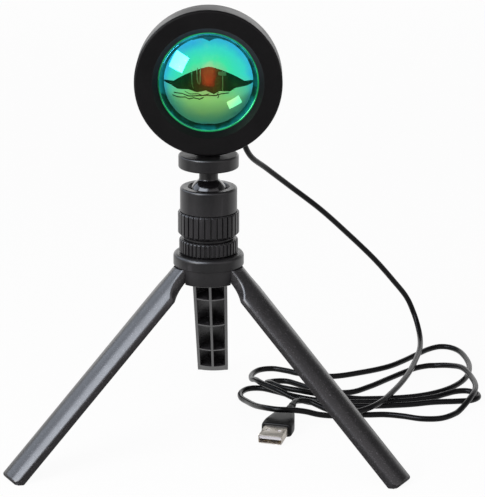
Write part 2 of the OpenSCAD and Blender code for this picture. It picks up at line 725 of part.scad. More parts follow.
module light_tube() {
    r = barrel_bore / 2 - seat_play;
    color([0.06, 0.06, 0.06]) on_lamp() rotate_extrude() polygon([
        [r - 3 - tube_wall, tube_y0], [r, tube_y0], [r, tube_y0 + tube_flange_t],
        [r - 3, tube_y0 + tube_flange_t], [tube_rear_r + tube_wall, led_y], [tube_rear_r, led_y]]);
}

module led_chip() {
    chip = 5;
    chip_h = 0.8;
    lens_h = 0.8;
    color([0.9, 0.35, 0.1]) on_lamp() {
        translate([-chip / 2, -chip / 2, led_y - chip_h]) cube([chip, chip, chip_h]);
        translate([0, 0, led_y - chip_h - lens_h]) cylinder(r = 1.9, h = lens_h);
    }
}

module led_board() {
    color([0.85, 0.85, 0.85]) on_lamp() difference() {
        translate([0, 0, led_y]) cylinder(d = led_board_d, h = board_t);
        for (s = [-1, 1]) translate([s * bolt_x, 0, led_y - 1])
            cylinder(r = screw_shank_r + seat_play, h = board_t + 2);
    }
}

module heat_sink() {
    r = barrel_bore / 2 - seat_play;
    fin_r = r - fin_inset;
    fin_side = floor(fin_r / fin_pitch);
    color([0.75, 0.76, 0.78]) on_lamp() difference() {
        union() {
            translate([0, 0, sink_y]) cylinder(r = r, h = sink_t);
            for (i = [-fin_side:fin_side]) let (half = sqrt(fin_r * fin_r - pow(i * fin_pitch, 2)))
                if (half > 2) translate([i * fin_pitch - fin_t / 2, -half, fin_y - eps])
                    cube([fin_t, 2 * half, fin_len + eps]);
        }
        for (s = [-1, 1]) {
            translate([s * wire_x, -wire_z, sink_y - 1]) cylinder(r = wire_r + seat_play, h = sink_t + fin_len + 2);
            translate([s * bolt_x, 0, sink_y - eps]) cylinder(r = screw_shank_r + fit_play, h = sink_t - 1 + eps);
        }
    }
}

module board_screws() {
    color([0.6, 0.6, 0.62]) on_lamp() for (s = [-1, 1]) translate([s * bolt_x, 0, led_y]) {
        translate([0, 0, -1.2]) cylinder(r = 1.7, h = 1.2);
        cylinder(r = screw_shank_r, h = board_t + sink_t - 1.2);
    }
}

module driver_board() {
    color([0.1, 0.35, 0.18]) on_lamp() {
        translate([-driver_w / 2, -driver_h / 2, driver_y]) cube([driver_w, driver_h, board_t]);
        translate([-4, -6, driver_y + board_t - eps]) cylinder(r = 2.5, h = 3);
        translate([2, -8, driver_y + board_t - eps]) cube([5, 4, 1.6]);
    }
}

module lead_wires() {
    color([0.7, 0.1, 0.1]) on_lamp() {
        for (s = [-1, 1]) translate([s * wire_x, -wire_z, sink_y]) cylinder(r = wire_r, h = driver_y - sink_y);
        translate([gland_x, gland_drop, driver_y + board_t]) cylinder(d = cord_d, h = gland_in_y - driver_y - board_t);
    }
}

module rear_barrel() {
    r = barrel_d / 2;
    color([0.08, 0.08, 0.09]) on_lamp() difference() {
        union() {
            difference() {
                union() {
                    rotate_extrude() ring_2d(0, r, bezel_y1, barrel_y1, 0, 0.6);
                    translate([0, 0, spigot_y]) cylinder(r = pocket_r - seat_play, h = bezel_y1 - spigot_y + eps);
                }
                translate([0, 0, spigot_y - 1]) cylinder(d = barrel_bore, h = far);
            }
            intersection() {
                for (az = BETWEEN_AZ) rotate([0, 0, az]) translate([boss_at_r, 0, boss_y0])
                    cylinder(r = boss_out_r, h = barrel_y1 - boss_y0);
                translate([0, 0, boss_y0 - 1]) cylinder(d = barrel_bore + 2, h = far);
            }
        }
        for (az = BETWEEN_AZ) rotate([0, 0, az]) translate([boss_at_r, 0, barrel_y1 - 5])
            cylinder(r = screw_shank_r + fit_play, h = far);
    }
}

module rear_cap() {
    vent_w = 2;
    vent_h = 12;
    color([0.08, 0.08, 0.09]) on_lamp() difference() {
        union() {
            rotate_extrude() ring_2d(0, barrel_d / 2, barrel_y1, cap_y1, 0.3, 1.2);
            for (s = [-1, 1]) translate([s * post_x, 0, driver_y + board_t])
                cylinder(r = post_r, h = barrel_y1 - driver_y - board_t + eps);
        }
        for (az = BETWEEN_AZ) rotate([0, 0, az]) translate([boss_at_r, 0, barrel_y1 - 1]) {
            cylinder(r = screw_shank_r + seat_play, h = far);
            translate([0, 0, 1 + rear_cap_t - screw_head_h]) cylinder(r = screw_head_r + seat_play, h = far);
        }
        for (i = [-2:2]) translate([i * 4.5 - vent_w / 2, -vent_h - 3, barrel_y1 - 1])
            cube([vent_w, vent_h, rear_cap_t + 2]);
        translate([gland_x, gland_drop, barrel_y1 - 1]) cylinder(r = gland_r + fit_play, h = far);
    }
}

module cap_screws() {
    color([0.3, 0.3, 0.32]) on_lamp() for (az = BETWEEN_AZ) rotate([0, 0, az]) translate([boss_at_r, 0, 0]) {
        translate([0, 0, cap_y1 - screw_head_h]) cylinder(r = screw_head_r, h = screw_head_h);
        translate([0, 0, barrel_y1 - 4.5]) cylinder(r = screw_shank_r, h = rear_cap_t + 4.5 - 0.2);
    }
}

module cord_gland() {
    flange_r = gland_r + 0.8;
    color([0.05, 0.05, 0.05]) on_lamp() translate([gland_x, gland_drop, 0]) rotate_extrude() polygon([
        [0, gland_in_y], [gland_r, gland_in_y], [gland_r, cap_y1], [flange_r, cap_y1], [flange_r, cap_y1 + 1.2],
        [gland_r - 0.3, cap_y1 + 1.4], [cord_d / 2 + 0.5, gland_tip_y], [0, gland_tip_y]]);
}

// Cord and plug

module cord_drop() {
    color([0.03, 0.03, 0.03]) tube_along(drop_path, [0, 1, 0], joint_dir, cord_d / 2, drop_sides);
}

module cord_loops() {
    color([0.03, 0.03, 0.03]) tube_along(loop_path, joint_dir, plug_forward, cord_d / 2, loop_sides);
}

module plug_relief() {
    step = relief_len / 6;
    color([0.04, 0.04, 0.04]) at_plug() translate([-plug_len - relief_len, 0, plug_h / 2]) rotate([0, 90, 0])
        rotate_extrude() polygon(concat([[0, 0]],
            [for (i = [0:5], k = [0, 1]) let (r = relief_r1 + (relief_r0 - relief_r1) * i / 5)
                [r - (i % 2 == 1 ? 0.35 : 0), step * (i + k)]],
            [[0, relief_len]]));
}

module plug_body() {
    half = plug_w / 2;
    rear_half = 4.5;
    color([0.04, 0.04, 0.04]) at_plug() difference() {
        linear_extrude(height = plug_h) polygon([[0, -half], [0, half], [-6, half], [-plug_len + 2, rear_half],
            [-plug_len, rear_half - 1.5], [-plug_len, 1.5 - rear_half], [-plug_len + 2, -rear_half], [-6, -half]]);
        translate([-shell_in, -shell_w / 2 - fit_play, shell_z - fit_play])
            cube([shell_in + 1, shell_w + 2 * fit_play, shell_h + 2 * fit_play]);
    }
}

module plug_shell() {
    window = 2.2;
    color([0.78, 0.76, 0.74]) at_plug() difference() {
        translate([-shell_in, -shell_w / 2, shell_z]) cube([shell_in + shell_len, shell_w, shell_h]);
        translate([-shell_in - 1, shell_t - shell_w / 2, shell_z + shell_t])
            cube([shell_in + shell_len + 2, shell_w - 2 * shell_t, shell_h - 2 * shell_t]);
        for (s = [-1, 1]) translate([shell_len * 0.42 - window / 2, s * shell_w * 0.24 - window / 2, shell_z - 1])
            cube([window, window, shell_h + 2]);
    }
}

module plug_tongue() {
    color([0.86, 0.85, 0.83]) at_plug() translate([-shell_in, shell_t - shell_w / 2, tongue_z])
        cube([shell_in + shell_len - 0.4, shell_w - 2 * shell_t, tongue_h]);
}

module plug_contacts() {
    color([0.8, 0.65, 0.3]) at_plug() for (i = [-1.5:1.5])
        translate([-2, i * 2.3 - 0.5, tongue_z - contact_t]) cube([shell_len - 0.5, 1, contact_t]);
}

hub_cap();
hub_body();
hub_screws();
leg_pins();
tripod_stud();
leg_left();
leg_right();
leg_rear();
screw_knob();
lock_ring();
ball_socket();
ball_seat();
thread_bush();
ball_stud();
platform();
platform_screw();
front_bezel();
tripod_insert();
lens();
lens_gasket();
lens_retainer();
light_tube();
led_chip();
led_board();
heat_sink();
board_screws();
driver_board();
lead_wires();
rear_barrel();
rear_cap();
cap_screws();
cord_gland();
cord_drop();
cord_loops();
plug_relief();
plug_body();
plug_shell();
plug_tongue();
plug_contacts();
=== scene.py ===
"""Looks of the sunset projection lamp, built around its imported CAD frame. Metres, CAD frame."""
import math

import bmesh
import bpy
from mathutils import Matrix, Vector


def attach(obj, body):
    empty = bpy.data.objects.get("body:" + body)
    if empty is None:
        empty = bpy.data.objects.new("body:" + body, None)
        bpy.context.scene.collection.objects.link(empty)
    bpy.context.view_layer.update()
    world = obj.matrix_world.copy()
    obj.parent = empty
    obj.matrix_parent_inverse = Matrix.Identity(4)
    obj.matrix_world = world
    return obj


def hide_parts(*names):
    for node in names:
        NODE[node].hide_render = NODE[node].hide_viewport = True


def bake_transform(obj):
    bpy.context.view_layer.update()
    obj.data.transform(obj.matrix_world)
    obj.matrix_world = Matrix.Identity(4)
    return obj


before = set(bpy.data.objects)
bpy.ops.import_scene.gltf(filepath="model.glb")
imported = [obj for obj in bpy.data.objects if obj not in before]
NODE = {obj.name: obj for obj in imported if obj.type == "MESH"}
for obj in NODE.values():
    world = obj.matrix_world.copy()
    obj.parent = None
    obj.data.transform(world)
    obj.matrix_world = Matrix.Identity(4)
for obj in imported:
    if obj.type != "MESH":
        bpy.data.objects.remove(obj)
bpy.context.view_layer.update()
scene = bpy.context.scene
scene.view_settings.view_transform = "Standard"

MM = 0.001
AXIS_Y = -24.8642      # tripod axis in the CAD frame, mm
HEAD_Z = 183.0761      # height of the lamp axis, mm

# Camera, fitted to the photograph (485 x 497)

cam_data = bpy.data.cameras.new("camera")
cam_data.sensor_fit = "VERTICAL"
cam_data.sensor_height = 36
cam_data.lens = 156.02
cam_data.shift_x = 0.0682
cam_data.clip_start = 0.01
cam_data.clip_end = 50
camera = bpy.data.objects.new("camera", cam_data)
camera.location = (0.02269, (-999.74 + AXIS_Y) * MM, 0.3978)
camera.rotation_euler = (math.radians(73.4), 0, math.radians(1.3))
scene.collection.objects.link(camera)
scene.camera = camera


# Mesh helpers

def new_object(name, verts, faces, smooth=True):
    """A mesh object from points in metres and faces."""
    mesh = bpy.data.meshes.new(name)
    mesh.from_pydata([tuple(v) for v in verts], [], faces)
    mesh.validate()
    if smooth:
        mesh.polygons.foreach_set("use_smooth", [True] * len(mesh.polygons))
    obj = bpy.data.objects.new(name, mesh)
    scene.collection.objects.link(obj)
    return obj


def fix_normals(obj):
    """Turns all faces outwards."""
    bm = bmesh.new()
    bm.from_mesh(obj.data)
    bmesh.ops.recalc_face_normals(bm, faces=bm.faces)
    bm.to_mesh(obj.data)
    bm.free()


def lathe(profile, count, place):
    """Rings of a profile [(radius, station)] mapped by place(radius, angle, station). Ends on the axis close."""
    verts, faces, rings = [], [], []
    for r, s in profile:
        if r < 1e-6:
            rings.append([len(verts)])
            verts.append(place(0, 0, s))
        else:
            rings.append(list(range(len(verts), len(verts) + count)))
            verts += [place(r, 2 * math.pi * k / count, s) for k in range(count)]
    for a, b in zip(rings, rings[1:]):
        for k in range(count):
            j = (k + 1) % count
            if len(a) == 1 and len(b) == 1:
                continue
            if len(a) == 1:
                faces.append((a[0], b[k], b[j]))
            elif len(b) == 1:
                faces.append((a[k], b[0], a[j]))
            else:
                faces.append((a[k], b[k], b[j], a[j]))
    return verts, faces


def turned(name, profile, count, place):
    """A closed piece turned round an axis."""
    verts, faces = lathe(profile, count, place)
    obj = new_object(name, verts, faces)
    fix_normals(obj)
    return obj


def geometry_group(name):
    """A new geometry node group, with its input and output nodes."""
    tree = bpy.data.node_groups.new(name, "GeometryNodeTree")
    for way in ("INPUT", "OUTPUT"):
        tree.interface.new_socket("Geometry", in_out=way, socket_type="NodeSocketGeometry")
    return tree, tree.nodes.new("NodeGroupInput"), tree.nodes.new("NodeGroupOutput")


def on_lamp(r, a, s):
    """A point at radius r, angle a and station s (mm) along the lamp axis."""
    return Vector((r * math.cos(a) * MM, (AXIS_Y + s) * MM, (HEAD_Z + r * math.sin(a)) * MM))


# Cord: the route of the part's source, measured from the tripod axis in mm

CORD_D = 3.0
CORD_SIDES = 14
CORD_STEP = 1.2        # between the points of the smooth route
DROP = [
    (8, 57, 173.5761), (8, 61, 173.5761),
    (8.3, 64.5, 172.6), (8.9, 67.1, 170), (9.8, 68.4, 166), (12, 69.6, 157.8), (14.5, 70, 147.8),
    (16, 72, 136.3), (20, 79.5, 125.8), (28.5, 94, 115.5), (41, 108, 102.3), (57.5, 119.5, 86.6),
    (73, 130, 69.9), (88, 138.5, 53.2), (99.5, 145, 38.5), (107.3, 149.3, 27.6), (111.5, 149, 18.6),
    (113.8, 144.1, 12), (114.5, 135.2, 8), (113.4, 122.6, 6.2)]
LOOPS = [
    (110, 106.2, 5.6), (106.4, 91.2, 5.5), (102.5, 77.8, 5.5), (98.6, 66.5, 5.5), (94.3, 55.8, 5.5),
    (89.2, 44.4, 5.5), (83.5, 35.5, 5.5), (77.5, 30, 5.2), (70.5, 26.6, 4.4), (63, 24.8, 4.2),
    (55.4, 22.6, 5.6), (48.4, 19.4, 8.4), (41.2, 16.2, 10.4), (34.6, 15.6, 10.8), (28.4, 20, 10),
    (23.2, 31.5, 6.8), (19, 46, 3.4), (15.8, 56, 1.8), (15.6, 64.2, 1.5), (19.4, 70.4, 1.5),
    (26.4, 71.2, 1.5), (34, 66.6, 1.5), (44.5, 59, 1.5), (58, 53, 1.5), (79, 51.5, 1.5), (101, 54, 1.5),
    (115.5, 59.5, 1.5), (122.5, 64.5, 1.5), (128.2, 68.6, 1.5), (134.2, 69.8, 1.5), (139, 66.5, 1.5),
    (139.6, 60.4, 1.5), (135.6, 55.8, 1.5), (128.6, 54.2, 1.5), (115.5, 52.5, 1.5), (101, 48.5, 1.5),
    (79, 46, 1.5), (58, 48.4, 1.5), (45, 52.2, 2.7), (34.5, 58.6, 5.5), (26.8, 67.5, 5.6), (23.4, 75, 4.9),
    (21.2, 84, 2.1), (21.4, 92.6, 1.5), (25.3, 99.8, 1.5), (32.4, 102, 1.5), (40, 98.8, 1.5),
    (47.5, 94.4, 1.5), (64, 90.5, 1.5), (81, 97.5, 1.5), (94.5, 106, 1.5), (103.5, 115.5, 1.5),
    (111.5, 126, 1.5), (119.5, 136, 1.5), (126.5, 140.5, 1.5), (133, 138, 1.5), (137.5, 128.5, 1.5),
    (139.5, 109.5, 1.5), (136, 90.5, 1.5), (127.5, 75.5, 1.5), (115.5, 65, 1.5), (100.5, 59, 1.5),
    (79, 56.5, 1.5), (59.5, 57, 3.4), (45.5, 57.5, 5.6), (36.5, 62, 5.6), (31.2, 68.8, 5.4),
    (29.3, 74.2, 3.7), (30.4, 78.8, 2.3), (33.3, 81.7, 1.7), (37.2, 82.7, 1.5), (41.3, 81.5, 1.5),
    (47.6, 76, 1.5), (57.5, 67, 1.5), (72.5, 66, 1.5), (83.5, 75, 1.5), (93.5, 86.5, 1.5), (104, 98.5, 1.5),
    (112, 106, 1.5), (120.5, 109, 1.5), (128.5, 104.5, 3.2), (134.5, 94.5, 5.4), (138, 79.5, 5.4),
    (138.5, 64.5, 5.6), (134.5, 50.5, 4.9), (126.5, 37.5, 1.5), (118, 29.5, 1.5), (108, 28.5, 1.5),
    (98.5, 32, 1.5), (89.5, 34, 1.5), (79.5, 33.5, 1.5), (69, 35, 1.5), (62.5, 38.7, 1.5), (58.2, 41.7, 2),
    (54, 44.6, 3), (51, 45.8, 3.9), (47.7, 45.4, 4.4), (45, 43.7, 4.9)]
PLUG_AT = (33.73, 6.13)
PLUG_HEADING = math.radians(-105.5)
PLUG_PITCH = math.radians(3)
PLUG_MID_Z = 3.5       # height of the plug's middle in its own frame
RELIEF_END = -32.0     # where the cord enters the plug's strain relief
STRAIGHT = 4.0         # straight cord before the relief
JOIN_Z = 92.0          # height where the cord's two pieces meet


def plug_point(x, y, z):
    """A point of the plug's own frame (mm) in the CAD frame (mm)."""
    px = x * math.cos(PLUG_PITCH) + z * math.sin(PLUG_PITCH)
    pz = -x * math.sin(PLUG_PITCH) + z * math.cos(PLUG_PITCH)
    c, s = math.cos(PLUG_HEADING), math.sin(PLUG_HEADING)
    return Vector((px * c - y * s + PLUG_AT[0], px * s + y * c + PLUG_AT[1] + AXIS_Y, pz))


def cord_points():
    """The route as a smooth line in the CAD frame, mm."""
    knots = [Vector((x, y + AXIS_Y, z)) for x, y, z in DROP + LOOPS]
    knots += [plug_point(x, 0, PLUG_MID_Z) for x in (RELIEF_END - STRAIGHT, RELIEF_END)]
    line = []
    for i in range(len(knots) - 1):
        a, b = knots[max(i - 1, 0)], knots[i]
        c, d = knots[i + 1], knots[min(i + 2, len(knots) - 1)]
        steps = max(2, round((c - b).length / CORD_STEP))
        for k in range(steps):
            t = k / steps
            p = 0.5 * (2 * b + (c - a) * t + (2 * a - 5 * b + 4 * c - d) * t * t + (3 * b - a - 3 * c + d) * t ** 3)
            line.append(p)
    line.append(knots[-1])
    return [Vector((p.x, p.y, max(p.z, CORD_D / 2))) for p in line]


def tube(name, path, radius, sides=14):
    """A closed tube along path, mm."""
    tangents = [(path[min(i + 1, len(path) - 1)] - path[max(i - 1, 0)]).normalized() for i in range(len(path))]
    side = tangents[0].orthogonal().normalized()
    verts, faces = [], []
    for p, t in zip(path, tangents):
        side = (side - t * side.dot(t)).normalized()
        up = t.cross(side)
        for k in range(sides):
            a = 2 * math.pi * k / sides
            verts.append((p + (side * math.cos(a) + up * math.sin(a)) * radius) * MM)
    for i in range(len(path) - 1):
        for k in range(sides):
            j = (k + 1) % sides
            faces.append((i * sides + k, i * sides + j, (i + 1) * sides + j, (i + 1) * sides + k))
    faces.append(tuple(range(sides))[::-1])
    faces.append(tuple(range((len(path) - 1) * sides, len(path) * sides)))
    return new_object(name, verts, faces)


def cord_line(name, path):
    """The cord's middle line. Its jacket is built along it after any bending, so that it keeps its thickness."""
    mesh = bpy.data.meshes.new(name)
    mesh.from_pydata([p * MM for p in path], [(i, i + 1) for i in range(len(path) - 1)], [])
    obj = bpy.data.objects.new(name, mesh)
    scene.collection.objects.link(obj)
    tree, source, result = geometry_group(name + "_jacket")
    add, link = tree.nodes.new, tree.links.new
    curve = add("GeometryNodeMeshToCurve")
    profile = add("GeometryNodeCurvePrimitiveCircle")
    profile.inputs["Resolution"].default_value = CORD_SIDES
    profile.inputs["Radius"].default_value = CORD_D / 2 * MM
    jacket = add("GeometryNodeCurveToMesh")
    jacket.inputs["Fill Caps"].default_value = True
    smooth = add("GeometryNodeSetShadeSmooth")
    coat = add("GeometryNodeSetMaterial")
    coat.name = "coat"
    link(source.outputs[0], curve.inputs["Mesh"])
    link(curve.outputs["Curve"], jacket.inputs["Curve"])
    link(profile.outputs["Curve"], jacket.inputs["Profile Curve"])
    link(jacket.outputs["Mesh"], smooth.inputs["Geometry"])
    link(smooth.outputs["Geometry"], coat.inputs["Geometry"])
    link(coat.outputs["Geometry"], result.inputs[0])
    obj.modifiers.new("jacket", "NODES").node_group = tree
    return obj


line = cord_points()
join = min(i for i, p in enumerate(line) if p.z < JOIN_Z)
upper_path, lower_path = line[:join + 1], line[join:]
cord_upper = cord_line("cord_upper", upper_path)
cord_lower = cord_line("cord_lower", lower_path)
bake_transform(cord_upper)
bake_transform(cord_lower)
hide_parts("cord_drop")
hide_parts("cord_drop", "cord_loops")


# Materials

MAT = {}


class Nodes:
    """Short ways to add and link the shader nodes of a material or a world."""

    def __init__(self, owner, coord="Object"):
        owner.use_nodes = True
        self.tree = owner.node_tree
        self.coord = self.add("ShaderNodeTexCoord").outputs[coord]

    def add(self, kind, inputs=(), **settings):
        node = self.tree.nodes.new(kind)
        for key, value in settings.items():
            setattr(node, key, value)
        for key, value in dict(inputs).items():
            node.inputs[key].default_value = value
        return node

    def link(self, a, b):
        self.tree.links.new(a, b)

    def axes(self):
        """The X, Y and Z of the coordinates."""
        sep = self.add("ShaderNodeSeparateXYZ")
        self.link(self.coord, sep.inputs["Vector"])
        return sep.outputs

    def scaled(self, scale):
        """The coordinates times a scale for each axis."""
        m = self.add("ShaderNodeMapping", {"Scale": scale})
        self.link(self.coord, m.inputs["Vector"])
        return m.outputs["Vector"]

    def noise(self, size_mm, detail=2.0, rough=0.5, vector=None):
        """Noise with grains of about this size."""
        n = self.add("ShaderNodeTexNoise", {"Scale": 1 / (size_mm * MM), "Detail": detail, "Roughness": rough})
        self.link(vector or self.coord, n.inputs["Vector"])
        return n.outputs["Fac"]

    def ramp(self, fac, stops):
        """A colour that runs through stops [(position, colour)] with a value."""
        r = self.add("ShaderNodeValToRGB")
        for i, (pos, col) in enumerate(stops):
            e = r.color_ramp.elements[i] if i < 2 else r.color_ramp.elements.new(pos)
            e.position, e.color = pos, (*col, 1)
        self.link(fac, r.inputs["Fac"])
        return r.outputs["Color"]

    def span(self, value, lo, hi, a=0.0, b=1.0, mode="LINEAR"):
        """A value that runs from a to b while the given one runs from lo to hi."""
        ends = {"From Min": lo, "From Max": hi, "To Min": a, "To Max": b}
        m = self.add("ShaderNodeMapRange", ends, interpolation_type=mode)
        self.link(value, m.inputs["Value"])
        return m.outputs["Result"]

    def math(self, op, a, b=0.0):
        m = self.add("ShaderNodeMath", operation=op)
        for i, v in enumerate((a, b)):
            if isinstance(v, (int, float)):
                m.inputs[i].default_value = v
            else:
                self.link(v, m.inputs[i])
        return m.outputs["Value"]

    def mix(self, fac, a, b):
        """Colour a, or b where fac is 1."""
        m = self.add("ShaderNodeMix", data_type="RGBA")
        self.link(fac, m.inputs["Factor"])
        for key, v in ((6, a), (7, b)):    # the colour sockets
            if isinstance(v, tuple):
                m.inputs[key].default_value = (*v, 1)
            else:
                self.link(v, m.inputs[key])
        return m.outputs[2]

    def bump(self, height, depth_mm):
        """A normal with relief of this depth."""
        b = self.add("ShaderNodeBump", {"Strength": 1.0, "Distance": depth_mm * MM})
        self.link(height, b.inputs["Height"])
        return b.outputs["Normal"]

    def set(self, **values):
        """Values or links for the principled shader."""
        for key, value in values.items():
            socket = self.tree.nodes["Principled BSDF"].inputs[key.replace("_", " ")]
            if isinstance(value, bpy.types.NodeSocket):
                self.link(value, socket)
            else:
                socket.default_value = value

    def either(self, fac, a, b):
        """Shader a, or b where fac is 1."""
        mix = self.add("ShaderNodeMixShader")
        self.link(fac, mix.inputs["Fac"])
        self.link(a.outputs[0], mix.inputs[1])
        self.link(b.outputs[0], mix.inputs[2])
        return mix

    def surface(self, shader):
        """Shows this shader in place of the first one."""
        self.link(shader.outputs[0], self.tree.get_output_node("ALL").inputs["Surface"])


def material(name):
    """A new material, kept in MAT under its name, and its nodes."""
    MAT[name] = bpy.data.materials.new(name)
    return Nodes(MAT[name])


def grey(v, tint=(1, 1, 1)):
    """A grey of brightness v with a tint."""
    return tuple(v * t for t in tint)


def moulded(name, dark, light, rough, grain_mm, depth_mm, tint=(1, 1, 1), spec=0.5, wear_and_edge_highlight=0.0, speck=0.0):
    """Moulded or anodised finish: fine grain in colour and relief, soft patches in gloss, edges painted lighter
    partly as wear and partly as a painted highlight, and specks.
    """
    m = material(name)
    fine = m.noise(grain_mm, 3, 0.6)
    patch = m.noise(14, 2, 0.5)
    base = m.ramp(fine, [(0.3, grey(dark, tint)), (0.7, grey(light, tint))])
    if wear_and_edge_highlight:
        # Pointy edges are painted lighter: partly wear, partly a painted highlight along the edges.
        edge = m.add("ShaderNodeNewGeometry").outputs["Pointiness"]
        worn_and_highlit = m.math("MULTIPLY", m.span(edge, 0.515, 0.56, 0, wear_and_edge_highlight), m.span(patch, 0.35, 0.65, 0.4, 1))
        base = m.mix(worn_and_highlit, base, grey(light * 4, tint))
    if speck:
        dots = m.span(m.noise(0.55, 2, 0.6), 0.62, 0.70)
        base = m.mix(dots, base, grey(speck, tint))
    gloss = m.math("ADD", m.span(patch, 0.3, 0.7, rough - 0.04, rough + 0.04), m.span(fine, 0.3, 0.7, -0.04, 0.04))
    m.set(Base_Color=base, Roughness=gloss, Normal=m.bump(fine, depth_mm), Specular_IOR_Level=spec)


INK = (1.03, 0.96, 1.06)    # the blacks lean to violet
moulded("black_anodised", 0.0025, 0.005, 0.44, 0.35, 0.005, INK, spec=0.20, wear_and_edge_highlight=0.3)
moulded("black_plastic", 0.004, 0.009, 0.34, 0.30, 0.008, INK, spec=0.46, wear_and_edge_highlight=0.5)
moulded("leg_plastic", 0.005, 0.012, 0.30, 0.24, 0.006, INK, spec=0.60, wear_and_edge_highlight=0.4, speck=0.10)
moulded("gloss_black", 0.003, 0.006, 0.14, 0.8, 0.002, INK, spec=0.5)
moulded("rubber", 0.002, 0.005, 0.36, 0.25, 0.006, INK, spec=0.2)
moulded("seat_plastic", 0.60, 0.68, 0.4, 0.5, 0.006, (1, 0.99, 0.94))
moulded("tongue_plastic", 0.62, 0.72, 0.4, 0.4, 0.006, (1, 0.99, 1.02))
moulded("white_board", 0.72, 0.80, 0.4, 0.6, 0.004)
moulded("green_board", 0.03, 0.06, 0.3, 0.8, 0.006, (0.4, 2.2, 0.8))
moulded("wire_red", 0.25, 0.32, 0.4, 0.5, 0.004, (1.6, 0.12, 0.1))


def cord_finish():
    """Smooth dark jacket whose gloss changes slowly along the cord."""
    m = material("cord_jacket")
    fine = m.noise(0.5, 2, 0.5)
    long = m.noise(9, 2, 0.5)
    m.set(Base_Color=m.ramp(fine, [(0.3, (0.0015, 0.0015, 0.0018)), (0.7, (0.0030, 0.0030, 0.0035))]),
          Roughness=m.span(long, 0.3, 0.7, 0.22, 0.30), Normal=m.bump(fine, 0.006), Specular_IOR_Level=0.14)


def metal_finish(name, lo, hi, rough, stretch=(1, 1, 1)):
    """Drawn or turned metal: fine scratches along one direction and slight tarnish."""
    m = material(name)
    brush = m.noise(0.12, 3, 0.6, m.scaled(stretch))
    cloud = m.noise(4, 3, 0.55)
    base = m.ramp(cloud, [(0.3, lo), (0.7, hi)])
    gloss = m.math("ADD", m.span(brush, 0.3, 0.7, rough - 0.06, rough + 0.08), m.span(cloud, 0.3, 0.7, 0.0, 0.05))
    m.set(Base_Color=base, Metallic=1.0, Roughness=gloss, Normal=m.bump(brush, 0.003))


def axis_fields(m):
    """Distances sideways and up from the lamp axis, and the distance from it, in metres."""
    x, _, z = m.axes()
    dz = m.math("SUBTRACT", z, HEAD_Z * MM)
    r2 = m.math("ADD", m.math("MULTIPLY", x, x), m.math("MULTIPLY", dz, dz))
    return x, dz, m.math("SQRT", r2)


def bezel_finish():
    """Matt black face with faint turning marks round the lens axis, and a sloping recess whose colour is painted
    lighter towards its top as painted light.
    """
    m = material("bezel_black")
    _, dz, radius = axis_fields(m)
    fine = m.noise(0.35, 3, 0.6)
    marks = m.math("SINE", m.math("MULTIPLY", radius, 2 * math.pi / 0.00045))
    black = m.ramp(fine, [(0.3, grey(0.0022, INK)), (0.7, grey(0.0048, INK))])
    recess = m.span(radius, 0.02655, 0.02635)
    # Painted light: the recess gets lighter towards its top, where the lamps above fall on it.
    recess_painted_light = m.ramp(m.span(dz, -0.026, 0.026),
                   [(0.0, grey(0.004, INK)), (0.5, grey(0.010, INK)), (1.0, grey(0.045, INK))])
    base = m.mix(recess, black, recess_painted_light)
    rough = m.math("ADD", m.span(m.noise(14, 2, 0.5), 0.3, 0.7, 0.40, 0.48), m.span(marks, -1, 1, -0.02, 0.02))
    m.set(Base_Color=base, Roughness=rough, Normal=m.bump(fine, 0.005), Specular_IOR_Level=0.19)


bezel_finish()
cord_finish()
metal_finish("plug_steel", (0.60, 0.55, 0.49), (0.74, 0.70, 0.64), 0.26, (0.1, 1, 1))
metal_finish("zinc_steel", (0.52, 0.53, 0.56), (0.66, 0.67, 0.70), 0.30)
metal_finish("brass", (0.62, 0.45, 0.18), (0.74, 0.56, 0.26), 0.30)
metal_finish("bare_aluminium", (0.70, 0.71, 0.72), (0.80, 0.81, 0.83), 0.34)

LENS_SHOWN_R = 23.9    # radius of the glass inside the bezel, mm


def lens_fields(m):
    """Distances sideways and up from the lens axis, and the distance from it, where 1 is the edge that shows."""
    x, dz, radius = axis_fields(m)
    return x, dz, m.math("DIVIDE", radius, LENS_SHOWN_R * MM)


def lens_finish():
    """Colour-splitting coating: the reflected colour runs with the distance from the axis and turns to lime below.
    Near the edge it glows in patches, a painted reflection.
    """
    m = material("coated_glass")
    _, dz, radius = lens_fields(m)
    run = m.math("ADD", radius, m.span(m.noise(9, 2, 0.5), 0.3, 0.7, -0.04, 0.04))
    below = m.span(m.math("ADD", dz, m.span(m.noise(16, 2, 0.5), 0.3, 0.7, -0.002, 0.002)), 0.004, -0.006)
    upper = m.ramp(run, [(0.0, (0.42, 0.62, 0.24)), (0.28, (0.22, 0.70, 0.28)), (0.50, (0.04, 0.92, 0.44)),
                         (0.74, (0.03, 0.80, 0.66)), (0.90, (0.02, 0.46, 0.80)), (1.0, (0.02, 0.40, 0.55))])
    lower = m.ramp(run, [(0.0, (0.42, 0.66, 0.20)), (0.30, (0.30, 0.76, 0.20)), (0.55, (0.28, 0.76, 0.24)),
                         (0.78, (0.10, 0.60, 0.32)), (0.92, (0.02, 0.34, 0.40)), (1.0, (0.02, 0.42, 0.40))])
    # Painted reflection: a faint green and cyan glow in patches near the edge of the glass.
    patch = m.ramp(m.noise(7, 2, 0.5), [(0.42, (0.002, 0.035, 0.022)), (0.58, (0.004, 0.16, 0.17))])
    painted_rim_glow = m.mix(m.span(radius, 0.84, 0.95), (0, 0, 0), patch)
    m.set(Base_Color=m.mix(below, upper, lower), Metallic=0.74, Transmission_Weight=1.0, IOR=1.5,
          Emission_Color=painted_rim_glow, Emission_Strength=1.0,
          Roughness=m.span(m.noise(5, 3, 0.6), 0.3, 0.7, 0.012, 0.04))


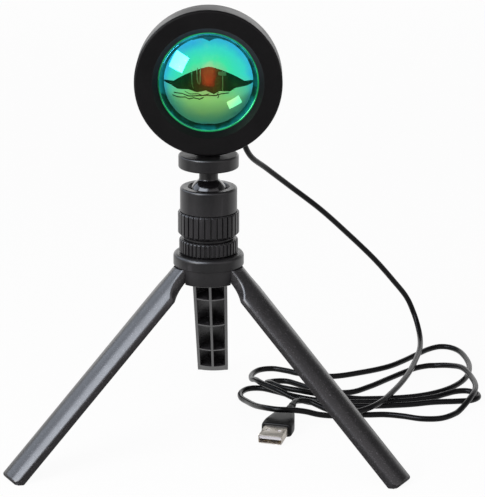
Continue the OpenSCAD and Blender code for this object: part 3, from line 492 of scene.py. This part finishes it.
def lens_back_finish():
    """Coated back: clouded green with dark streaks, and a painted red glow in its middle that stands in for the light
    of the source.
    """
    m = material("coated_back")
    x, dz, _ = lens_fields(m)
    cloud = m.noise(3.2, 4, 0.65, m.scaled((1.6, 1, 0.8)))
    tint = m.ramp(cloud, [(0.36, (0.01, 0.03, 0.012)), (0.50, (0.10, 0.22, 0.06)), (0.66, (0.34, 0.46, 0.22))])
    # Painted light: a red glow in the middle of the back, where the source's light would show through.
    wide = m.math("MULTIPLY", x, 1.75)
    high = m.math("SUBTRACT", dz, 0.0032)
    r2 = m.math("ADD", m.math("MULTIPLY", wide, wide), m.math("MULTIPLY", high, high))
    near = m.math("ADD", m.math("SQRT", r2), m.span(m.noise(4, 3, 0.6), 0.3, 0.7, -0.0012, 0.0012))
    painted_glow_spot = m.span(near, 0.0150, 0.0030)
    painted_source_glow = m.ramp(painted_glow_spot, [(0.0, (0.012, 0.010, 0.001)), (0.50, (0.09, 0.035, 0.005)), (0.72, (0.16, 0.03, 0.006)),
                         (0.80, (0.62, 0.03, 0.012)), (1.0, (1.0, 0.08, 0.03))])
    m.set(Base_Color=tint, Metallic=0.5, Roughness=0.10, Transmission_Weight=0.6, IOR=1.5, Emission_Color=painted_source_glow,
          Emission_Strength=1.9)


def rim_finish():
    """The ground edge of the coated glass: green, with painted green glints that glow in patches."""
    m = material("coated_rim")
    fine = m.noise(2.5, 3, 0.6)
    # Painted glints: the edge glows green in patches.
    painted_glint = m.ramp(m.noise(13, 2, 0.5), [(0.40, (0.002, 0.06, 0.03)), (0.62, (0.01, 0.55, 0.14))])
    m.set(Base_Color=m.ramp(fine, [(0.3, (0.01, 0.30, 0.10)), (0.7, (0.03, 0.50, 0.18))]), Metallic=0.5,
          Roughness=m.span(fine, 0.3, 0.7, 0.12, 0.24), Emission_Color=painted_glint, Emission_Strength=0.30)


def source_finish():
    """Amber phosphor of the LED."""
    m = material("source")
    fine = m.noise(0.6, 2, 0.5)
    m.set(Base_Color=m.ramp(fine, [(0.3, (0.75, 0.30, 0.05)), (0.7, (0.9, 0.5, 0.08))]), Roughness=0.35,
          Emission_Color=(1.0, 0.05, 0.02, 1), Emission_Strength=2.0)


lens_finish()
lens_back_finish()
rim_finish()
source_finish()


# Finish of the CAD pieces that stay: softened edges and smooth shading as modifiers, and their material

def smooth_group():
    """Plain smooth shading in place of the imported normals, with edges sharper than 38 degrees kept crisp."""
    tree, start, end = geometry_group("smooth_by_angle")
    normal = tree.nodes.new("GeometryNodeSetMeshNormal")
    normal.mode = "SHARPNESS"
    normal.inputs["Remove Custom"].default_value = True
    angle = tree.nodes.new("GeometryNodeInputMeshEdgeAngle")
    sharp = tree.nodes.new("FunctionNodeCompare")
    sharp.data_type = "FLOAT"
    sharp.operation = "GREATER_THAN"
    sharp.inputs[1].default_value = math.radians(38)
    tree.links.new(angle.outputs["Unsigned Angle"], sharp.inputs[0])
    tree.links.new(sharp.outputs["Result"], normal.inputs["Edge Sharpness"])
    tree.links.new(start.outputs[0], normal.inputs["Mesh"])
    tree.links.new(normal.outputs["Mesh"], end.inputs[0])
    return tree


SMOOTH = smooth_group()


def dress(node, look, edge_mm):
    """Gives a CAD piece its material, softened edges and even shading."""
    obj = NODE[node]
    obj.data.materials.clear()
    obj.data.materials.append(MAT[look])
    weld = obj.modifiers.new("weld", "WELD")
    weld.merge_threshold = 1e-6
    flat = obj.modifiers.new("flat", "DECIMATE")
    flat.decimate_type = "DISSOLVE"
    flat.angle_limit = math.radians(0.6)
    if edge_mm:
        bevel = obj.modifiers.new("edges", "BEVEL")
        bevel.width = edge_mm * MM
        bevel.segments = 2
        bevel.limit_method = "ANGLE"
        bevel.angle_limit = math.radians(35)
        bevel.use_clamp_overlap = True
    shade = obj.modifiers.new("shade", "NODES")
    shade.node_group = SMOOTH
    even = obj.modifiers.new("even", "WEIGHTED_NORMAL")
    even.mode = "FACE_AREA"
    even.keep_sharp = True


FINISH = [
    ("hub_cap", "black_plastic", 0.15), ("hub_body", "black_plastic", 0.2), ("leg_pins", "zinc_steel", 0.1),
    ("tripod_stud", "zinc_steel", 0.15), ("screw_knob", "black_plastic", 0.12), ("lock_ring", "black_plastic", 0.15),
    ("ball_socket", "black_plastic", 0.2), ("ball_seat", "seat_plastic", 0.1), ("thread_bush", "brass", 0.1),
    ("platform", "black_plastic", 0.15), ("platform_screw", "zinc_steel", 0.1), ("front_bezel", "bezel_black", 0.2),
    ("tripod_insert", "brass", 0.1), ("lens_gasket", "rubber", 0.1), ("lens_retainer", "black_plastic", 0.1),
    ("light_tube", "black_plastic", 0.0), ("led_chip", "source", 0.05), ("led_board", "white_board", 0.1),
    ("heat_sink", "bare_aluminium", 0.1), ("board_screws", "zinc_steel", 0.1), ("driver_board", "green_board", 0.1),
    ("lead_wires", "wire_red", 0.0), ("rear_barrel", "black_anodised", 0.2), ("rear_cap", "black_anodised", 0.2),
    ("plug_relief", "rubber", 0.15), ("plug_tongue", "tongue_plastic", 0.1), ("plug_contacts", "brass", 0.05)]
for node_name, look_name, edge in FINISH:
    dress(node_name, look_name, edge)
for cord_piece in (cord_upper, cord_lower):
    cord_piece.data.materials.append(MAT["cord_jacket"])
    coat = cord_piece.modifiers["jacket"].node_group.nodes["coat"]
    coat.inputs["Material"].default_value = MAT["cord_jacket"]


def adopt(obj, body, node, look):
    """The piece rides on a body, stands for a node and takes a finish."""
    obj.data.materials.clear()
    obj.data.materials.append(MAT[look])
    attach(obj, body)
    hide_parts(node)


# Lens: a domed front with a rounded bead at its rim, and a coated flat back

def make_lens():
    dome_r, apex, rim, back, steps = 41.4411, -12.8, 23.2, -2.0, 40
    centre = apex + dome_r
    profile = [(r, centre - math.sqrt(dome_r ** 2 - r ** 2)) for r in [rim * k / steps for k in range(steps + 1)]]
    edge_s = profile[-1][1]
    profile += [(rim + 0.5 * (1 - math.cos(a)), edge_s - 0.35 * math.sin(a)) for a in (0.5, 1.0, 1.5708, 2.1, 2.6)]
    profile += [(24.2, -5.0), (25.3, -4.9), (25.45, -4.7), (25.45, back + 0.2), (25.3, back)]
    profile += [(20, back), (12, back), (5, back), (0, back)]
    obj = turned("lens_dome", profile, 128, on_lamp)
    adopt(obj, "lamp", "lens", "coated_glass")
    obj.data.materials.append(MAT["coated_back"])
    obj.data.materials.append(MAT["coated_rim"])
    for poly in obj.data.polygons:
        corners = [obj.data.vertices[v].co for v in poly.vertices]
        if all(abs(c.y - (AXIS_Y + back) * MM) < 1e-6 for c in corners):
            poly.material_index = 1
            poly.use_smooth = False
        elif min(math.hypot(c.x, c.z - HEAD_Z * MM) for c in corners) > (rim - 0.01) * MM:
            poly.material_index = 2
    return obj


lens_dome = make_lens()


# Pieces made of solids cut and joined

def boolean(obj, other, operation):
    """obj's mesh becomes obj cut by or joined with other, and other is removed."""
    mod = obj.modifiers.new("cut", "BOOLEAN")
    mod.operation = operation
    mod.solver = "EXACT"
    mod.use_self = True
    mod.object = other
    depsgraph = bpy.context.evaluated_depsgraph_get()
    mesh = bpy.data.meshes.new_from_object(obj.evaluated_get(depsgraph))
    obj.modifiers.clear()
    old = obj.data
    obj.data = mesh
    bpy.data.meshes.remove(old)
    spare = other.data
    bpy.data.objects.remove(other)
    bpy.data.meshes.remove(spare)


def block(name, lo, hi):
    """A box between two corners, mm."""
    (x0, y0, z0), (x1, y1, z1) = lo, hi
    verts = [Vector((x, y, z)) * MM for x in (x0, x1) for y in (y0, y1) for z in (z0, z1)]
    faces = [(0, 1, 3, 2), (4, 6, 7, 5), (0, 4, 5, 1), (2, 3, 7, 6), (0, 2, 6, 4), (1, 5, 7, 3)]
    return new_object(name, verts, faces, smooth=False)


def loft(name, sections):
    """A closed skin through sections with the same number of points, mm."""
    count = len(sections[0])
    verts = [p * MM for sec in sections for p in sec]
    faces = []
    for i in range(len(sections) - 1):
        for k in range(count):
            j = (k + 1) % count
            faces.append((i * count + k, (i + 1) * count + k, (i + 1) * count + j, i * count + j))
    faces.append(tuple(range(count)))
    faces.append(tuple(range(len(sections) * count - 1, (len(sections) - 1) * count - 1, -1)))
    obj = new_object(name, verts, faces)
    fix_normals(obj)
    return obj


def finish_mesh(obj, angle=35):
    """Smooth shading, with edges sharper than the angle in degrees kept crisp."""
    obj.data.polygons.foreach_set("use_smooth", [True] * len(obj.data.polygons))
    obj.data.set_sharp_from_angle(angle=math.radians(angle))
    obj.data.update()


# Legs: x along the leg from its hinge pin, y across, z out of the crown, mm

LEG_LEN, LEG_W0, LEG_W1 = 134.5, 17.6, 16.4
CROWN_R, CROWN_Z, EDGE_Z, WALL = 12.5, -8.1, -1.9, 1.5
TAB_HALF, SCOOP_R, SCOOP_X = 5.0, 16.0, 9.1
FOOT_LEN, FOOT_R, TIP_R = 8.0, 3.2, 1.4
CAVITY_X, RIB_PITCH, RIB_T, RIB_BULGE, RIB_R = 14.4, 30.0, 1.2, 0.9, 25.389
PIN_R, PIN_Z, STOP_Z = 10.5, 93.2761, 92.1561
LEAN = math.radians(44.2)


def leg_half(x):
    """Half the width of a leg at x, with the scoops beside its tab and the round corners of its foot."""
    w = (LEG_W0 + (LEG_W1 - LEG_W0) * x / LEG_LEN) / 2
    if x <= SCOOP_X:
        return TAB_HALF
    if x - SCOOP_X < SCOOP_R:
        w = min(w, TAB_HALF + SCOOP_R - math.sqrt(SCOOP_R ** 2 - (x - SCOOP_X) ** 2))
    end = x - (LEG_LEN - FOOT_R)
    if end > 0:
        w = min(w, LEG_W1 / 2 - FOOT_R + math.sqrt(max(FOOT_R ** 2 - end ** 2, 0)))
    return w


def bend(p, c, q, t):
    """A point on the round between p and q whose corner is c."""
    return tuple((1 - t) ** 2 * a + 2 * t * (1 - t) * b + t * t * d for a, b, d in zip(p, c, q))


def mirrored(x, half):
    """A closed section from its right half, listed from the lower edge to the crown."""
    return [Vector((x, y, z)) for y, z in half] + [Vector((x, -y, z)) for y, z in half[::-1] if y > 1e-9]


def crown(y, r=CROWN_R):
    """Height of the round back of a leg, or of a round of radius r inside it."""
    return CROWN_Z + math.sqrt(r * r - y * y)


def outer_section(x):
    """Outline of a leg at x, with rounded edges and a rounded tip."""
    w = leg_half(x)
    tip = TIP_R - (LEG_LEN - x)
    drop = TIP_R - math.sqrt(TIP_R ** 2 - tip ** 2) if tip > 0 else 0.0
    side, low = 1.0, 0.35
    half = [bend((w - low, EDGE_Z), (w, EDGE_Z), (w, EDGE_Z + low), t) for t in (0, 0.5, 1)]
    top = crown(w) - drop
    half += [bend((w, top - side), (w, top), (w - side, crown(w - side) - drop), t / 5) for t in range(6)]
    half += [(y, crown(y) - drop) for y in [(w - side) * (1 - k / 9) for k in range(1, 10)]]
    return mirrored(x, half)


def cavity_section(x):
    """Outline of the hollow in a leg at x, open below."""
    w = leg_half(x) - WALL
    r = CROWN_R - WALL
    half = [(w, -20.0)] + [(y, crown(y, r)) for y in [w * (1 - k / 10) for k in range(11)]]
    return mirrored(x, half)


def rib_low(y):
    """Height of the bulged lower edge of the ribs at y."""
    return EDGE_Z - RIB_BULGE + RIB_R - math.sqrt(RIB_R ** 2 - y * y)


def cross_rib(x0, x1):
    """A plate across the leg with a bulged free edge, reaching halfway into the walls."""
    w = leg_half((x0 + x1) / 2) - WALL / 2
    r = CROWN_R - WALL / 2
    ys = [w * (1 - k / 8) for k in range(9)]
    ring = [(y, rib_low(y)) for y in ys] + [(-y, rib_low(y)) for y in ys[-2::-1]]
    ring += [(-y, crown(y, r)) for y in ys] + [(y, crown(y, r)) for y in ys[-2::-1]]
    return loft("rib", [[Vector((x, y, z)) for y, z in ring] for x in (x0, x1)])


def cut_plane(obj, point, normal):
    """Removes what lies on the side the normal points to, and closes the cut."""
    bm = bmesh.new()
    bm.from_mesh(obj.data)
    geom = bm.verts[:] + bm.edges[:] + bm.faces[:]
    cut = bmesh.ops.bisect_plane(bm, geom=geom, plane_co=Vector(point) * MM, plane_no=normal, clear_outer=True)
    edges = [e for e in cut["geom_cut"] if isinstance(e, bmesh.types.BMEdge)]
    bmesh.ops.edgenet_fill(bm, edges=edges)
    bmesh.ops.recalc_face_normals(bm, faces=bm.faces)
    bm.to_mesh(obj.data)
    bm.free()


def on_pin(r, a, h):
    """A point round the hinge pin of a leg in its own frame."""
    return Vector((r * math.cos(a), h, r * math.sin(a))) * MM


def make_leg():
    """One leg in its own frame: a thin shell with a hinge tab, a centre rib, cross ribs and a solid foot."""
    stations = [0, 3, 6, SCOOP_X] + [SCOOP_X + 10.4 * k / 10 for k in range(1, 11)]
    stations += [25, 45, 65, 85, 105, 122]
    stations += [LEG_LEN - FOOT_R + FOOT_R * math.sin(math.pi / 2 * k / 10) for k in range(11)]
    leg = loft("leg", [outer_section(min(x, LEG_LEN - 1e-4)) for x in stations])
    stations = [CAVITY_X, 16, 17.5, 18.6, 19.5, 40, 70, 100, LEG_LEN - FOOT_LEN]
    boolean(leg, loft("cavity", [cavity_section(x) for x in stations]), "DIFFERENCE")
    spine = block("spine", (CAVITY_X - 0.6, -RIB_T / 2, rib_low(0)), (LEG_LEN - FOOT_LEN + 1, RIB_T / 2, 3.6))
    boolean(leg, spine, "UNION")
    for i in (1, 2, 3):
        x = CAVITY_X + i * RIB_PITCH
        boolean(leg, cross_rib(x, x + RIB_T), "UNION")
    boolean(leg, cross_rib(LEG_LEN - FOOT_LEN - WALL / 2, LEG_LEN - WALL / 2), "UNION")
    up = (-math.sin(LEAN), 0, math.cos(LEAN))
    down = tuple(-v for v in up)
    cut_plane(leg, ((PIN_Z - STOP_Z) / math.sin(LEAN), 0, 0), up)
    knuckle = [(0, -4.8), (2.3, -4.8), (2.5, -4.6), (2.5, 4.6), (2.3, 4.8), (0, 4.8)]
    boolean(leg, turned("knuckle", knuckle, 40, on_pin), "UNION")
    bore = [(0, -9), (1.25, -9), (1.25, 9), (0, 9)]
    boolean(leg, turned("bore", bore, 32, on_pin), "DIFFERENCE")
    cut_plane(leg, (PIN_Z / math.sin(LEAN), 0, 0), down)
    return leg


leg_one = make_leg()
for leg_name, azimuth in (("leg_left", 210), ("leg_right", 330), ("leg_rear", 90)):
    leg = bpy.data.objects.new(leg_name + "_shell", leg_one.data.copy())
    scene.collection.objects.link(leg)
    place = (Matrix.Translation((0, AXIS_Y * MM, 0)) @ Matrix.Rotation(math.radians(azimuth), 4, "Z")
             @ Matrix.Translation((PIN_R * MM, 0, PIN_Z * MM)) @ Matrix.Rotation(LEAN, 4, "Y"))
    leg.data.transform(place)
    finish_mesh(leg)
    adopt(leg, leg_name, leg_name, "leg_plastic")
bpy.data.objects.remove(leg_one)


# Ball and neck: a bright turned ball, a small fillet and a satin neck with a collar

BALL_Z, BALL_R, NECK_R = 126.1761, 9.5, 4.55


def on_tripod(r, a, h):
    """A point at radius r, angle a and height h (mm) round the tripod axis."""
    return Vector((r * math.cos(a), AXIS_Y + r * math.sin(a), h)) * MM


def make_ball():
    fillet = 1.2
    mid_r = NECK_R + fillet
    mid_h = math.sqrt((BALL_R + fillet) ** 2 - mid_r ** 2)
    last = math.atan2(mid_h, mid_r)
    profile = [(BALL_R * math.cos(t), BALL_R * math.sin(t))
               for t in [-math.pi / 2 + (last + math.pi / 2) * k / 40 for k in range(41)]]
    profile[0] = (0, -BALL_R)
    turn = math.pi + last
    profile += [(mid_r + fillet * math.cos(t), mid_h + fillet * math.sin(t))
                for t in [turn + (math.pi - turn) * k / 6 for k in range(1, 7)]]
    neck_from = len(profile) - 3
    profile += [(NECK_R, 13.5), (NECK_R + 0.35, 13.6), (NECK_R + 0.5, 13.75), (NECK_R + 0.5, 14.25),
                (NECK_R + 0.35, 14.4), (0, 14.4)]
    obj = turned("ball_neck", [(r, BALL_Z + h) for r, h in profile], 72, on_tripod)
    finish_mesh(obj, 50)
    adopt(obj, "lamp", "ball_stud", "gloss_black")
    obj.data.materials.append(MAT["black_plastic"])
    limit = (BALL_Z + profile[neck_from][1]) * MM
    for poly in obj.data.polygons:
        if poly.center.z > limit:
            poly.material_index = 1


make_ball()


# Small fasteners with a cross recess

def screw_set(name, body, node, places, look):
    """Domed heads with a cross recess. Each place is (centre, outward direction), mm."""
    verts, faces = [], []
    head = [(0, -0.9), (1.0, -0.9), (2.0, -0.9), (2.0, 0.05), (1.85, 0.28), (1.4, 0.44), (0.8, 0.5), (0, 0.52)]
    one = turned("head", head, 40, lambda r, a, h: Vector((r * math.cos(a), r * math.sin(a), h)) * MM)
    for x, y in ((0.32, 1.15), (1.15, 0.32)):
        boolean(one, block("slot", (-x, -y, -0.35), (x, y, 2)), "DIFFERENCE")
    for centre, outward in places:
        turn = Vector(outward).to_track_quat("Z", "Y").to_matrix().to_4x4()
        place = Matrix.Translation(Vector(centre) * MM) @ turn @ Matrix.Rotation(0.4 + 1.3 * len(verts), 4, "Z")
        base = len(verts)
        verts += [place @ v.co for v in one.data.vertices]
        faces += [tuple(base + i for i in poly.vertices) for poly in one.data.polygons]
    bpy.data.objects.remove(one)
    obj = new_object(name, verts, faces)
    finish_mesh(obj, 40)
    adopt(obj, body, node, look)


CAP_BACK, BOSS_AT = 46.5, 21.8
screw_set("rear_screw_heads", "lamp", "cap_screws",
          [((BOSS_AT * math.cos(a), AXIS_Y + CAP_BACK - 0.55, HEAD_Z + BOSS_AT * math.sin(a)), (0, 1, 0))
           for a in (math.radians(-30), math.radians(-150), math.radians(90))], "zinc_steel")
HUB_Z, HUB_SCREW_AT = 84.7761, 9.3
screw_set("hub_screw_heads", "base", "hub_screws",
          [((HUB_SCREW_AT * math.cos(a), AXIS_Y + HUB_SCREW_AT * math.sin(a), HUB_Z + 0.95), (0, 0, -1))
           for a in (math.radians(30), math.radians(150), math.radians(270))], "zinc_steel")


# Cord gland: a flange and a tapered boot with flexing grooves

GLAND_X, GLAND_DROP, BOOT_TAPER = 8.0, 9.5, 0.066


def make_gland():
    boot_r, boot_at, pitch = 2.6, 47.9, 1.6
    profile = [(0, 45.2), (2.88, 45.2), (2.88, 46.5), (3.6, 46.5), (3.7, 46.6), (3.7, 47.4), (3.6, 47.6), (3.4, 47.7),
               (2.75, 47.75), (boot_r, boot_at)]
    for k in range(5):
        at = 48.6 + pitch * k
        full = boot_r - (at - boot_at) * BOOT_TAPER
        profile += [(full, at), (full - 0.08, at + 0.12), (full - 0.45, at + 0.2), (full - 0.45, at + 0.62),
                    (full - 0.12, at + 0.7), (full - 0.06, at + 0.82)]
    profile += [(2.03, 56.6), (1.97, 56.85), (1.8, 57.0), (0, 57.0)]
    shift = Vector((GLAND_X * MM, 0, -GLAND_DROP * MM))
    obj = turned("cord_boot", profile, 48, lambda r, a, h: on_lamp(r, a, h) + shift)
    finish_mesh(obj, 50)
    adopt(obj, "lamp", "cord_gland", "rubber")


make_gland()


# Plug overmould: a rounded body that narrows to the strain relief

MOULD_SIDES, MOULD_ROUND = 56, 0.38


def make_mould():
    stations = [(-20, 3.1, 2.5), (-19.6, 3.9, 2.9), (-18.6, 4.6, 3.2), (-16.5, 5.2, 3.35), (-13, 6.1, 3.45),
                (-9.5, 7.0, 3.5), (-7, 7.6, 3.5), (-5.2, 7.8, 3.5), (-1.2, 7.8, 3.5), (-0.5, 7.7, 3.42),
                (-0.12, 7.45, 3.2), (0, 7.1, 2.95)]
    sections = []
    for x, a, b in stations:
        ring = []
        for k in range(MOULD_SIDES):
            t = 2 * math.pi * k / MOULD_SIDES
            c, s = math.cos(t), math.sin(t)
            y = a * math.copysign(abs(c) ** MOULD_ROUND, c)
            z = PLUG_MID_Z + b * math.copysign(abs(s) ** MOULD_ROUND, s)
            ring.append(plug_point(x, y, z))
        sections.append(ring)
    obj = loft("plug_mould", sections)
    finish_mesh(obj, 45)
    adopt(obj, "base", "plug_body", "rubber")
    return obj


plug_mould = make_mould()


# Plug shell: folded sheet with round corners, soft front edges and two windows above and below

SHELL_X0, SHELL_X1, SHELL_W, SHELL_H, SHELL_T, SHELL_R = -4.0, 12.1, 12.0, 4.5, 0.4, 0.7
WINDOW, WINDOW_X, WINDOW_Y, WINDOW_R = 2.2, 5.082, 2.88, 0.3


def round_box(w, h, r, steps=5):
    """Outline of a rectangle with round corners, centred on the origin."""
    ring = []
    for i, (sx, sy) in enumerate(((1, 1), (-1, 1), (-1, -1), (1, -1))):
        for k in range(steps + 1):
            a = math.pi / 2 * (i + k / steps)
            ring.append((sx * (w / 2 - r) + r * math.cos(a), sy * (h / 2 - r) + r * math.sin(a)))
    return ring


def make_shell():
    front = [(0.14, 0.0), (0.04, 0.04), (0.0, 0.13), (0.0, SHELL_T - 0.13), (0.04, SHELL_T - 0.04), (0.14, SHELL_T)]
    rings = [(SHELL_X0, 0.0)] + [(SHELL_X1 - back, inset) for back, inset in front] + [(SHELL_X0, SHELL_T)]
    verts, count = [], 0
    for x, inset in rings:
        ring = round_box(SHELL_W - 2 * inset, SHELL_H - 2 * inset, SHELL_R - inset)
        count = len(ring)
        verts += [plug_point(x, y, PLUG_MID_Z + z) * MM for y, z in ring]
    faces = []
    for i in range(len(rings)):
        a, b = i * count, (i + 1) % len(rings) * count
        faces += [(a + k, b + k, b + (k + 1) % count, a + (k + 1) % count) for k in range(count)]
    obj = new_object("plug_can", verts, faces)
    fix_normals(obj)
    for side in (-1, 1):
        hole = round_box(WINDOW, WINDOW, WINDOW_R)
        ends = [[plug_point(WINDOW_X + x, side * WINDOW_Y + y, z) for x, y in hole] for z in (0, 2 * PLUG_MID_Z)]
        boolean(obj, loft("window", ends), "DIFFERENCE")
    finish_mesh(obj, 40)
    adopt(obj, "base", "plug_shell", "plug_steel")
    return obj


plug_can = make_shell()


# Stage: pale floor, white surroundings behind, soft lamps

FLOOR_WHITE = 0.945    # share of plain white in the floor that the camera sees, the rest is lit paper
FLOOR_ZONES = [(0.24, 0.88), (0.46, 0.06), (0.56, 0.06), (0.64, 1.0)]    # its white in reflections, front to back


def make_floor():
    """Pale paper with a ragged front edge, nearly white to the camera and in bright and dark zones to reflections."""
    edge = [(-3, -0.46), (-0.62, -0.50), (-0.40, -0.44), (-0.27, -0.53), (-0.13, -0.47), (-0.04, -0.56),
            (0.05, -0.43), (0.13, -0.52), (0.24, -0.45), (0.38, -0.54), (0.60, -0.47), (3, -0.50)]
    corners = [(x, y, 0) for x, y in edge] + [(3, 4, 0), (-3, 4, 0)]
    obj = new_object("floor", corners, [tuple(range(len(corners)))], smooth=False)
    m = material("floor")
    path = m.add("ShaderNodeLightPath").outputs
    zone = m.ramp(m.span(m.axes()["Y"], -0.5, 0.3), [(at, grey(value)) for at, value in FLOOR_ZONES])
    paper = m.add("ShaderNodeBsdfDiffuse")
    m.link(m.mix(path["Is Camera Ray"], grey(0.42), grey(0.92)), paper.inputs["Color"])
    white = m.add("ShaderNodeEmission", {"Strength": 1.0})
    seen = m.math("MULTIPLY", path["Is Camera Ray"], FLOOR_WHITE)
    share = m.math("ADD", seen, m.math("MULTIPLY", path["Is Glossy Ray"], zone))
    m.surface(m.either(share, paper, white))
    MAT["floor"].cycles.emission_sampling = "NONE"
    obj.data.materials.append(MAT["floor"])


def make_world():
    """White to the camera and through glass. White behind and dark in front in reflections. Soft grey light."""
    scene.world = bpy.data.worlds.new("studio")
    m = Nodes(scene.world, "Generated")
    path = m.add("ShaderNodeLightPath").outputs
    _, y, z = m.axes()
    behind = m.span(y, -0.35, 0.30, 0.04, 1.0, "SMOOTHSTEP")
    back = m.math("MULTIPLY", behind, m.span(z, 0.14, 0.48, 1.0, 0.22, "SMOOTHSTEP"))
    room = m.add("ShaderNodeBackground")
    m.link(m.math("ADD", back, m.span(z, 0.55, 0.80, 0.0, 0.25, "SMOOTHSTEP")), room.inputs["Strength"])
    ambient = m.add("ShaderNodeBackground", {"Color": (1.0, 0.96, 1.0, 1), "Strength": 0.25})
    white = m.add("ShaderNodeBackground", {"Color": (1, 1, 1, 1), "Strength": 1.0})
    seen = m.math("MAXIMUM", path["Is Camera Ray"], path["Is Transmission Ray"])
    m.surface(m.either(seen, m.either(path["Is Glossy Ray"], ambient, room), white))


def softbox(name, at, aim, width, height, radiance, colour=(1, 1, 1), roll=0.0, sheen_only=False):
    """A rectangular lamp whose face has the given brightness. A sheen card shows only in reflections."""
    data = bpy.data.lights.new(name, "AREA")
    data.shape = "RECTANGLE"
    data.size, data.size_y = width, height
    data.energy = radiance * math.pi * width * height
    data.color = colour
    obj = bpy.data.objects.new(name, data)
    obj.location = at
    turn = (Vector(aim) - Vector(at)).to_track_quat("-Z", "Y").to_matrix().to_4x4()
    obj.rotation_euler = (turn @ Matrix.Rotation(math.radians(roll), 4, "Z")).to_euler()
    obj.visible_camera = False
    obj.visible_diffuse = not sheen_only
    scene.collection.objects.link(obj)
    return obj


def flag_off(lamp, *pieces):
    """Keeps a lamp's light off some pieces, as a black flag beside it would."""
    shaded = bpy.data.collections.new(lamp.name + "_flag")
    for i, piece in enumerate(pieces):
        shaded.objects.link(piece)
        shaded.collection_objects[i].light_linking.link_state = "EXCLUDE"
    lamp.light_linking.receiver_collection = shaded


def light_only(lamp, *pieces):
    """Keeps a lamp's light to some pieces, as a snoot on it would."""
    lit = bpy.data.collections.new(lamp.name + "_snoot")
    for piece in pieces:
        lit.objects.link(piece)
    lamp.light_linking.receiver_collection = lit


def out_of_shot(obj, look):
    """A piece of the studio that the camera does not see."""
    obj.data.materials.append(MAT[look])
    obj.visible_camera = False


def make_umbrella(radiance):
    """A wide white umbrella in front of the lamp, lower at its sides than in the middle, with a scalloped edge."""
    centre, radius, spread, rows, columns = Vector((0, -0.02, 0.18)), 1.25, 80, 20, 96
    verts, faces = [], []
    for i in range(columns + 1):
        az = spread * (2 * i / columns - 1)
        low = 13 - 21 * min(abs(az) / 48, 1) ** 1.4
        high = 47 - 8 * (az / spread) ** 2 + 3.5 * abs(math.sin(math.radians(az * 6)))
        for k in range(rows + 1):
            el = math.radians(low + (high - low) * k / rows)
            a = math.radians(az)
            way = Vector((math.sin(a) * math.cos(el), -math.cos(a) * math.cos(el), math.sin(el)))
            verts.append(centre + radius * way)
    for i in range(columns):
        for k in range(rows):
            n = i * (rows + 1) + k
            faces.append((n, n + 1, n + rows + 2, n + rows + 1))
    obj = new_object("umbrella", verts, faces)
    m = material("umbrella_cloth")
    m.surface(m.add("ShaderNodeEmission", {"Color": (1.0, 0.96, 1.0, 1), "Strength": radiance}))
    out_of_shot(obj, "umbrella_cloth")


def make_props():
    """Cables, stands and a card in front of the table, out of the picture: they give the lens a room to reflect."""
    dark, pale = "prop_dark", "prop_pale"
    material(dark).set(Base_Color=(0.01, 0.01, 0.01, 1))
    material(pale).set(Base_Color=(0.38, 0.42, 0.34, 1))
    runs = [
        ("prop_cable_a", dark, 6, [(-330, -300, 8), (-250, -345, 8), (-170, -330, 8), (-90, -372, 8),
                                   (-20, -392, 8), (60, -380, 8), (120, -410, 8), (200, -400, 8)]),
        ("prop_cable_b", dark, 5, [(-260, -420, 6), (-180, -380, 6), (-110, -420, 6), (-60, -385, 6), (0, -430, 6)]),
        ("prop_cable_d", dark, 5, [(-300, -250, 6), (-235, -262, 6), (-190, -300, 6), (-150, -285, 6),
                                   (-120, -320, 6), (-70, -310, 6), (-45, -345, 6)]),
        ("prop_cable_c", dark, 4, [(70, -330, 9), (84, -370, 9), (80, -410, 9), (96, -450, 9)]),
        ("prop_stand_a", pale, 9, [(-215, -760, 330), (-210, -760, 200), (-190, -758, 60), (-165, -756, 40),
                                   (-150, -756, 90), (-150, -757, 330)]),
        ("prop_stand_b", pale, 7, [(-330, -800, 300), (-326, -800, 150), (-318, -800, 20), (-300, -800, -60)]),
        ("prop_stand_c", pale, 10, [(268, -820, -250), (266, -820, -60), (262, -820, 120), (258, -820, 280)])]
    for name, look, radius, path in runs:
        out_of_shot(tube(name, [Vector(p) for p in path], radius), look)
    corners = [(0.17, -0.80, 0.20), (0.33, -0.80, 0.19), (0.33, -0.80, 0.26), (0.17, -0.80, 0.27)]
    out_of_shot(new_object("prop_card", corners, [(0, 1, 2, 3)], smooth=False), pale)


COOL = (0.78, 0.86, 1.0)
make_floor()
make_props()
make_world()
make_umbrella(1.15)
softbox("key_left", (-0.72, -0.80, 0.48), (0, 0, 0.14), 0.40, 0.42, 10.5, roll=-18)
top_left = softbox("top_left", (-0.56, -0.55, 0.82), (-0.05, -0.05, 0.05), 0.75, 0.55, 2.0)
sheen_top = softbox("sheen_top", (-0.54, -0.57, 0.82), (-0.05, -0.05, 0.05), 1.0, 0.62, 7.0, COOL, sheen_only=True)
flag_off(top_left, lens_dome, NODE["front_bezel"])
flag_off(sheen_top, lens_dome, NODE["front_bezel"])
softbox("sheen_side", (-1.07, 0.36, 0.84), (0, 0, 0.08), 1.0, 0.8, 2.9, COOL, sheen_only=True)
kick_low = softbox("kick_low", (0.128, -0.180, 0.041), (0, -0.035, 0.183), 0.072, 0.050, 1.7, roll=38,
                   sheen_only=True)
light_only(kick_low, lens_dome)
softbox("backdrop", (0, 1.5, 0.50), (0, 0, 0.15), 2.4, 0.7, 1.2)
